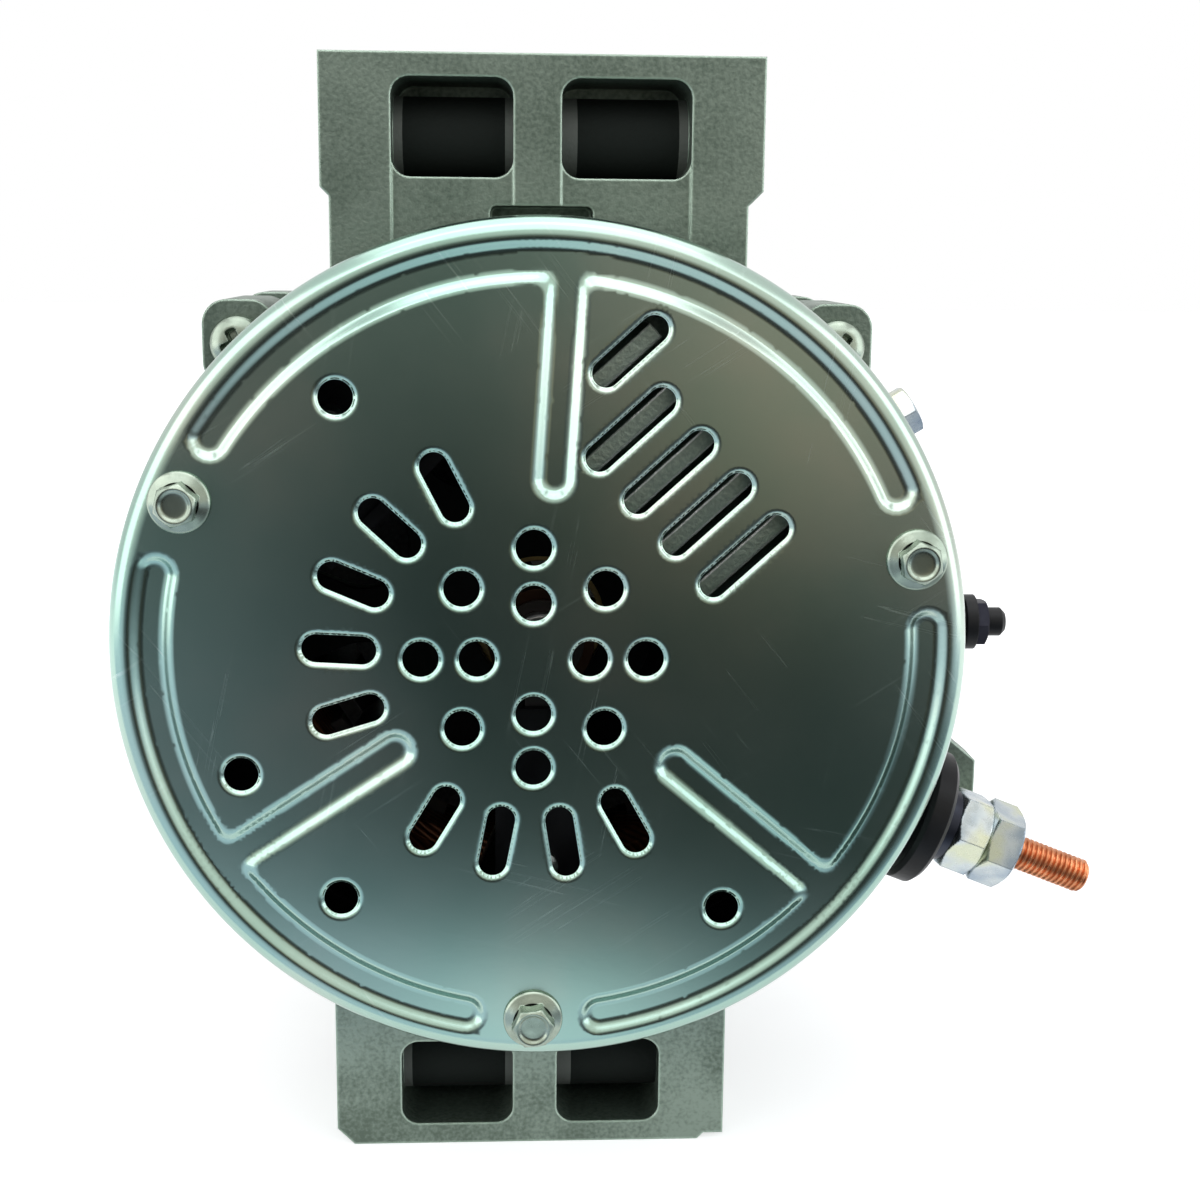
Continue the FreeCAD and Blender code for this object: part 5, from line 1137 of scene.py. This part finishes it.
# %% [markdown]
# ## From the tree to a plain mesh
# The inputs are set by their identifiers before anything is evaluated. The evaluated copy is
# then read back as a mesh, and the modifier and the model aren't needed any more.

# %% One mesh with all copies
def scattered(name, model, places, turns, material, angle=30):
    """One mesh with the model at every place; turns are angles about Y in degrees."""
    thing = mesh_object(name, places, [])
    turn = thing.data.attributes.new("turn", "FLOAT_VECTOR", "POINT")
    for item, degrees in zip(turn.data, turns):
        item.vector = (0, math.radians(degrees), 0)
    modifier = thing.modifiers.new("copies", "NODES")
    modifier.node_group = scatter
    for title, value in (("Piece", model), ("Size", 1.0), ("Finish", material)):
        modifier[scatter_inputs[title]] = value
    applied(thing, angle)
    bpy.data.objects.remove(model)
    return thing


print("copies become one mesh in", scattered.__name__)

# %% [markdown]
# ## The three screws in place
# The screws sit in the cover's three seats. Nobody lines screws up by hand, so each is
# turned by another angle.

# %% Place the three cover screws
screw_spots = [(x, face_station, z) for x, z in screw_places]
cover_screws = scattered("cover_screw_heads", cover_screw, screw_spots, (12, -8, 24), zinc_screw)
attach(cover_screws, "housing")
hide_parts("cover_screws")
print("faces of three cover screws:", len(cover_screws.data.polygons))

# %% [markdown]
# ## Four through screws
# Long screws with pan heads clamp both castings on the stator. The driver's cross is pressed
# into the domed head. Here the head is turned first, and then a rule lowers every point that
# lies inside the cross, which is why the rings of points on the dome are close together.

# %% One pan head with a pressed cross
through_low, through_high = (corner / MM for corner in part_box("through_screws"))
head_radius, head_height = 6.15, 4.2
dome_radius, dome_rise, shank_radius = 5.6, 1.5, 2.9
ear_x = through_high.x - head_radius
ear_z = through_high.z - head_radius
head_seat = through_low.y + head_height
shank_length = through_high.y - head_seat
dome = [(-head_height + dome_rise * (r / dome_radius) ** 3, r)
        for r in np.arange(dome_radius, 0.1, -dome_radius / 20)]
pan_head = turned_rings([(shank_length, 0.01), (shank_length, shank_radius), (0.0, shank_radius),
                         (0.0, head_radius - 0.2), (-0.3, head_radius), (-1.5, head_radius),
                         (-2.3, 5.95)] + dome, segments=72)


def cross_pressed(part, wing_half=1.0, wing_reach=3.7, deepest=3.0):
    """Lowers the points of the dome that lie inside the driver's cross."""
    vertices, faces = part
    pressed = []
    for x, y, z in vertices:
        if y < -head_height / 2:
            inside = ease((wing_half + 0.2 - min(abs(x), abs(z))) / 0.4)
            inside *= ease((wing_reach - math.hypot(x, z)) / 0.6)
            y += deepest * float(inside)
        pressed.append((x, y, z))
    return pressed, faces


through_screw = piece_from("through_screw_model", cross_pressed(pan_head), zinc_screw)
print("the four heads sit at", round(head_seat, 1), "mm, shanks", round(shank_length, 1), "mm long")

# %% [markdown]
# ## The through screws in place
# The four ears lie symmetrically, so one position from the box of the engineering model
# gives all four. The crosses stand at different angles, as after tightening.

# %% Place the four through screws
ear_spots = [(x, head_seat, z) for x in (-ear_x, ear_x) for z in (-ear_z, ear_z)]
through_screws = scattered("through_screw_heads", through_screw, ear_spots, (20, 65, 8, 38), zinc_screw)
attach(through_screws, "housing")
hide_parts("through_screws")
print("faces of four through screws:", len(through_screws.data.polygons))

# %% [markdown]
# ## Output terminal
# A copper stud carries the charging current out of the housing. Its thread is rolled, so it
# has rounded crests. A height that rises with both the angle and the distance along the
# stud draws one continuous helix.

# %% Where the terminal's axis lies
terminal_station, output_angle, output_aside = -40.0, -21.65, -10.0


def radial_place(angle, aside, turn=0.0):
    """From a piece round +Y to a line on the flank that passes the shaft at one side."""
    out = Vector((math.cos(math.radians(angle)), 0, math.sin(math.radians(angle))))
    ahead = Vector((0, 1, 0))
    square = ahead.cross(-out)
    start = square * aside * MM + ahead * terminal_station * MM
    frame_of_piece = Matrix((out.cross(ahead), out, ahead)).transposed().to_4x4()
    return (Matrix.Translation(start) @ frame_of_piece
            @ Matrix.Rotation(math.radians(turn), 4, "Y"))


print("the terminal points", output_angle, "degrees from the level")

# %% [markdown]
# ## The thread
# A rolled thread has rounded crests and a run-out at its tip. The rod is a tube of points.
# The height of each point follows a cosine of its distance along the stud, shifted by its
# angle, and a limit that falls towards the end makes the tip's chamfer.

# %% A threaded rod
def threaded_rod(start, end, crest, root, pitch, segments=40, steps=9):
    vertices = []
    rows = int((end - start) / pitch * steps)
    for row in range(rows + 1):
        axial = start + (end - start) * row / rows
        limit = min(crest, root - 0.1 + (end - axial) * 0.9)
        for i in range(segments):
            phase = (axial / pitch - i / segments) % 1.0
            lift = 0.5 - 0.5 * math.cos(2 * math.pi * phase)
            radius = min(root + (crest - root) * min(1.0, lift * 1.35), limit)
            angle = 2 * math.pi * i / segments
            vertices.append((radius * math.cos(angle), axial, radius * math.sin(angle)))
    tip = tuple(rows * segments + i for i in range(segments))
    return vertices, between_rings(rows + 1, segments) + [tip]


print("thread helper ready")

# %% [markdown]
# ## The stud in place
# The stud has its thread from the outer nut to its tip. Below the nuts a plain shank and a
# round head are enough, because the nuts and the insulator hide them.

# %% The stud
nut_seat, nut_height, nut_across, stud_tip = 107.0, 8.2, 17.4, 142.87
nuts_face = nut_seat + 2 * nut_height
thread_start = nuts_face - 0.3
crest_radius, root_radius, thread_pitch = 4.0, 3.38, 1.25
foot_start, foot_end, foot_radius = 71.3, 75.3, 6.5
rod = threaded_rod(thread_start, stud_tip, crest_radius, root_radius, thread_pitch)
shank = turned_rings([(foot_start, 0.01), (foot_start, foot_radius), (foot_end, foot_radius),
                      (foot_end, root_radius), (thread_start, root_radius)])
stud = piece_from("output_stud_threaded", joined(rod, shank), finishes["copper_stud"],
                  radial_place(output_angle, output_aside), 50)
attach(stud, "housing")
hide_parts("output_stud")
print("faces of the stud:", len(stud.data.polygons))

# %% [markdown]
# ## Two nuts on the stud
# One nut clamps the insulator and the other clamps the cable's lug. Both are the turned
# hexagon from above with chamfered corners. The outer one is turned a little further.

# %% The stud's two nuts
nut_bore = 3.45
for title, number, turn in (("output_nut_inner", 0, 0.0), ("output_nut_outer", 1, 14.0)):
    profile = nut_profile(nut_seat + number * nut_height, nut_height, nut_across, nut_bore)
    one = piece_from(title + "_chamfered", turned_rings(profile, nut_across, 72),
                     finishes["passivated_zinc"], radial_place(output_angle, output_aside, turn))
    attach(one, "housing")
    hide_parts(title)
print("the nuts' outer face lies at", nuts_face, "mm along the stud")

# %% [markdown]
# ## Brush springs
# A coil spring presses each carbon brush on its slip ring. It is one round wire on a helix,
# and the last turn at each end lies nearly flat. A curve with a round bevel could draw it.
# Here a ring of points travels along the wire's line and every step is joined to the one
# before, since that gives an even mesh with closed ends at once.

# %% One coil from a travelling ring
spring_low, spring_high = (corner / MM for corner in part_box("brush_springs"))
coil_outside = (spring_high.x - spring_low.x) / 2
wire_radius = 0.35
spring_length = spring_high.z - spring_low.z - 0.15


def wound_wire(outside, thick, length, open_turns=5, steps=32, sides=10):
    """A wire of radius thick on a helix round Z, with one closed turn at each end."""
    rises = [2.1 * thick] + [(length - 6.2 * thick) / open_turns] * open_turns + [2.1 * thick]
    levels = np.interp(np.arange(len(rises) * steps + 1) / steps, range(len(rises) + 1),
                       np.cumsum([thick] + rises))
    vertices = []
    for step, level in enumerate(levels):
        along = 2 * math.pi * step / steps
        for side in range(sides):
            turn = 2 * math.pi * side / sides
            reach = outside - thick + thick * math.cos(turn)
            vertices.append((reach * math.cos(along), reach * math.sin(along),
                             level + thick * math.sin(turn)))
    ends = [tuple(range(sides)), tuple(len(vertices) - 1 - side for side in range(sides))]
    return vertices, between_rings(len(levels), sides) + ends


spring_steel = finishes["spring_steel"]
coil = piece_from("brush_spring_model", wound_wire(coil_outside, wire_radius, spring_length),
                  spring_steel, angle=60)
print("faces of one spring:", len(coil.data.polygons))

# %% [markdown]
# ## Both springs
# The same coil stands in each of the two brush wells. The finished mesh gets data of its own.

# %% Both springs in their brush wells
spring_spots = [(0, y, spring_low.z)
                for y in (spring_low.y + coil_outside, spring_high.y - coil_outside)]
springs = scattered("brush_springs_wound", coil, spring_spots, (0, 0), spring_steel, 60)
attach(springs, "housing")
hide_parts("brush_springs")
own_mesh(springs)

# %% [markdown]
# ## Finishes for the engineering pieces
# Everything that keeps its engineering shape gets the finish of its material slot here. The
# finishes have the slots' names, so a table lookup does it and no piece is forgotten. Small
# sheet pieces inside have a plainer zinc than the cover. Two pieces look different from their
# slots on the real machine and are listed one by one.

# %% Give each slot its finish
slot_of = {part["node"]: part["material_slot"] for part in frame["record"]["subparts"]}
own_finish = {"output_washer": "dark_fastener", "ground_screw": "passivated_zinc"}
for name, thing in nodes.items():
    slot = slot_of[name].replace("zinc_sheet", "zinc_sheet_plain")
    for place in thing.material_slots:
        place.material = finishes[own_finish.get(name, slot)]
print("nodes with a finish:", len(nodes))
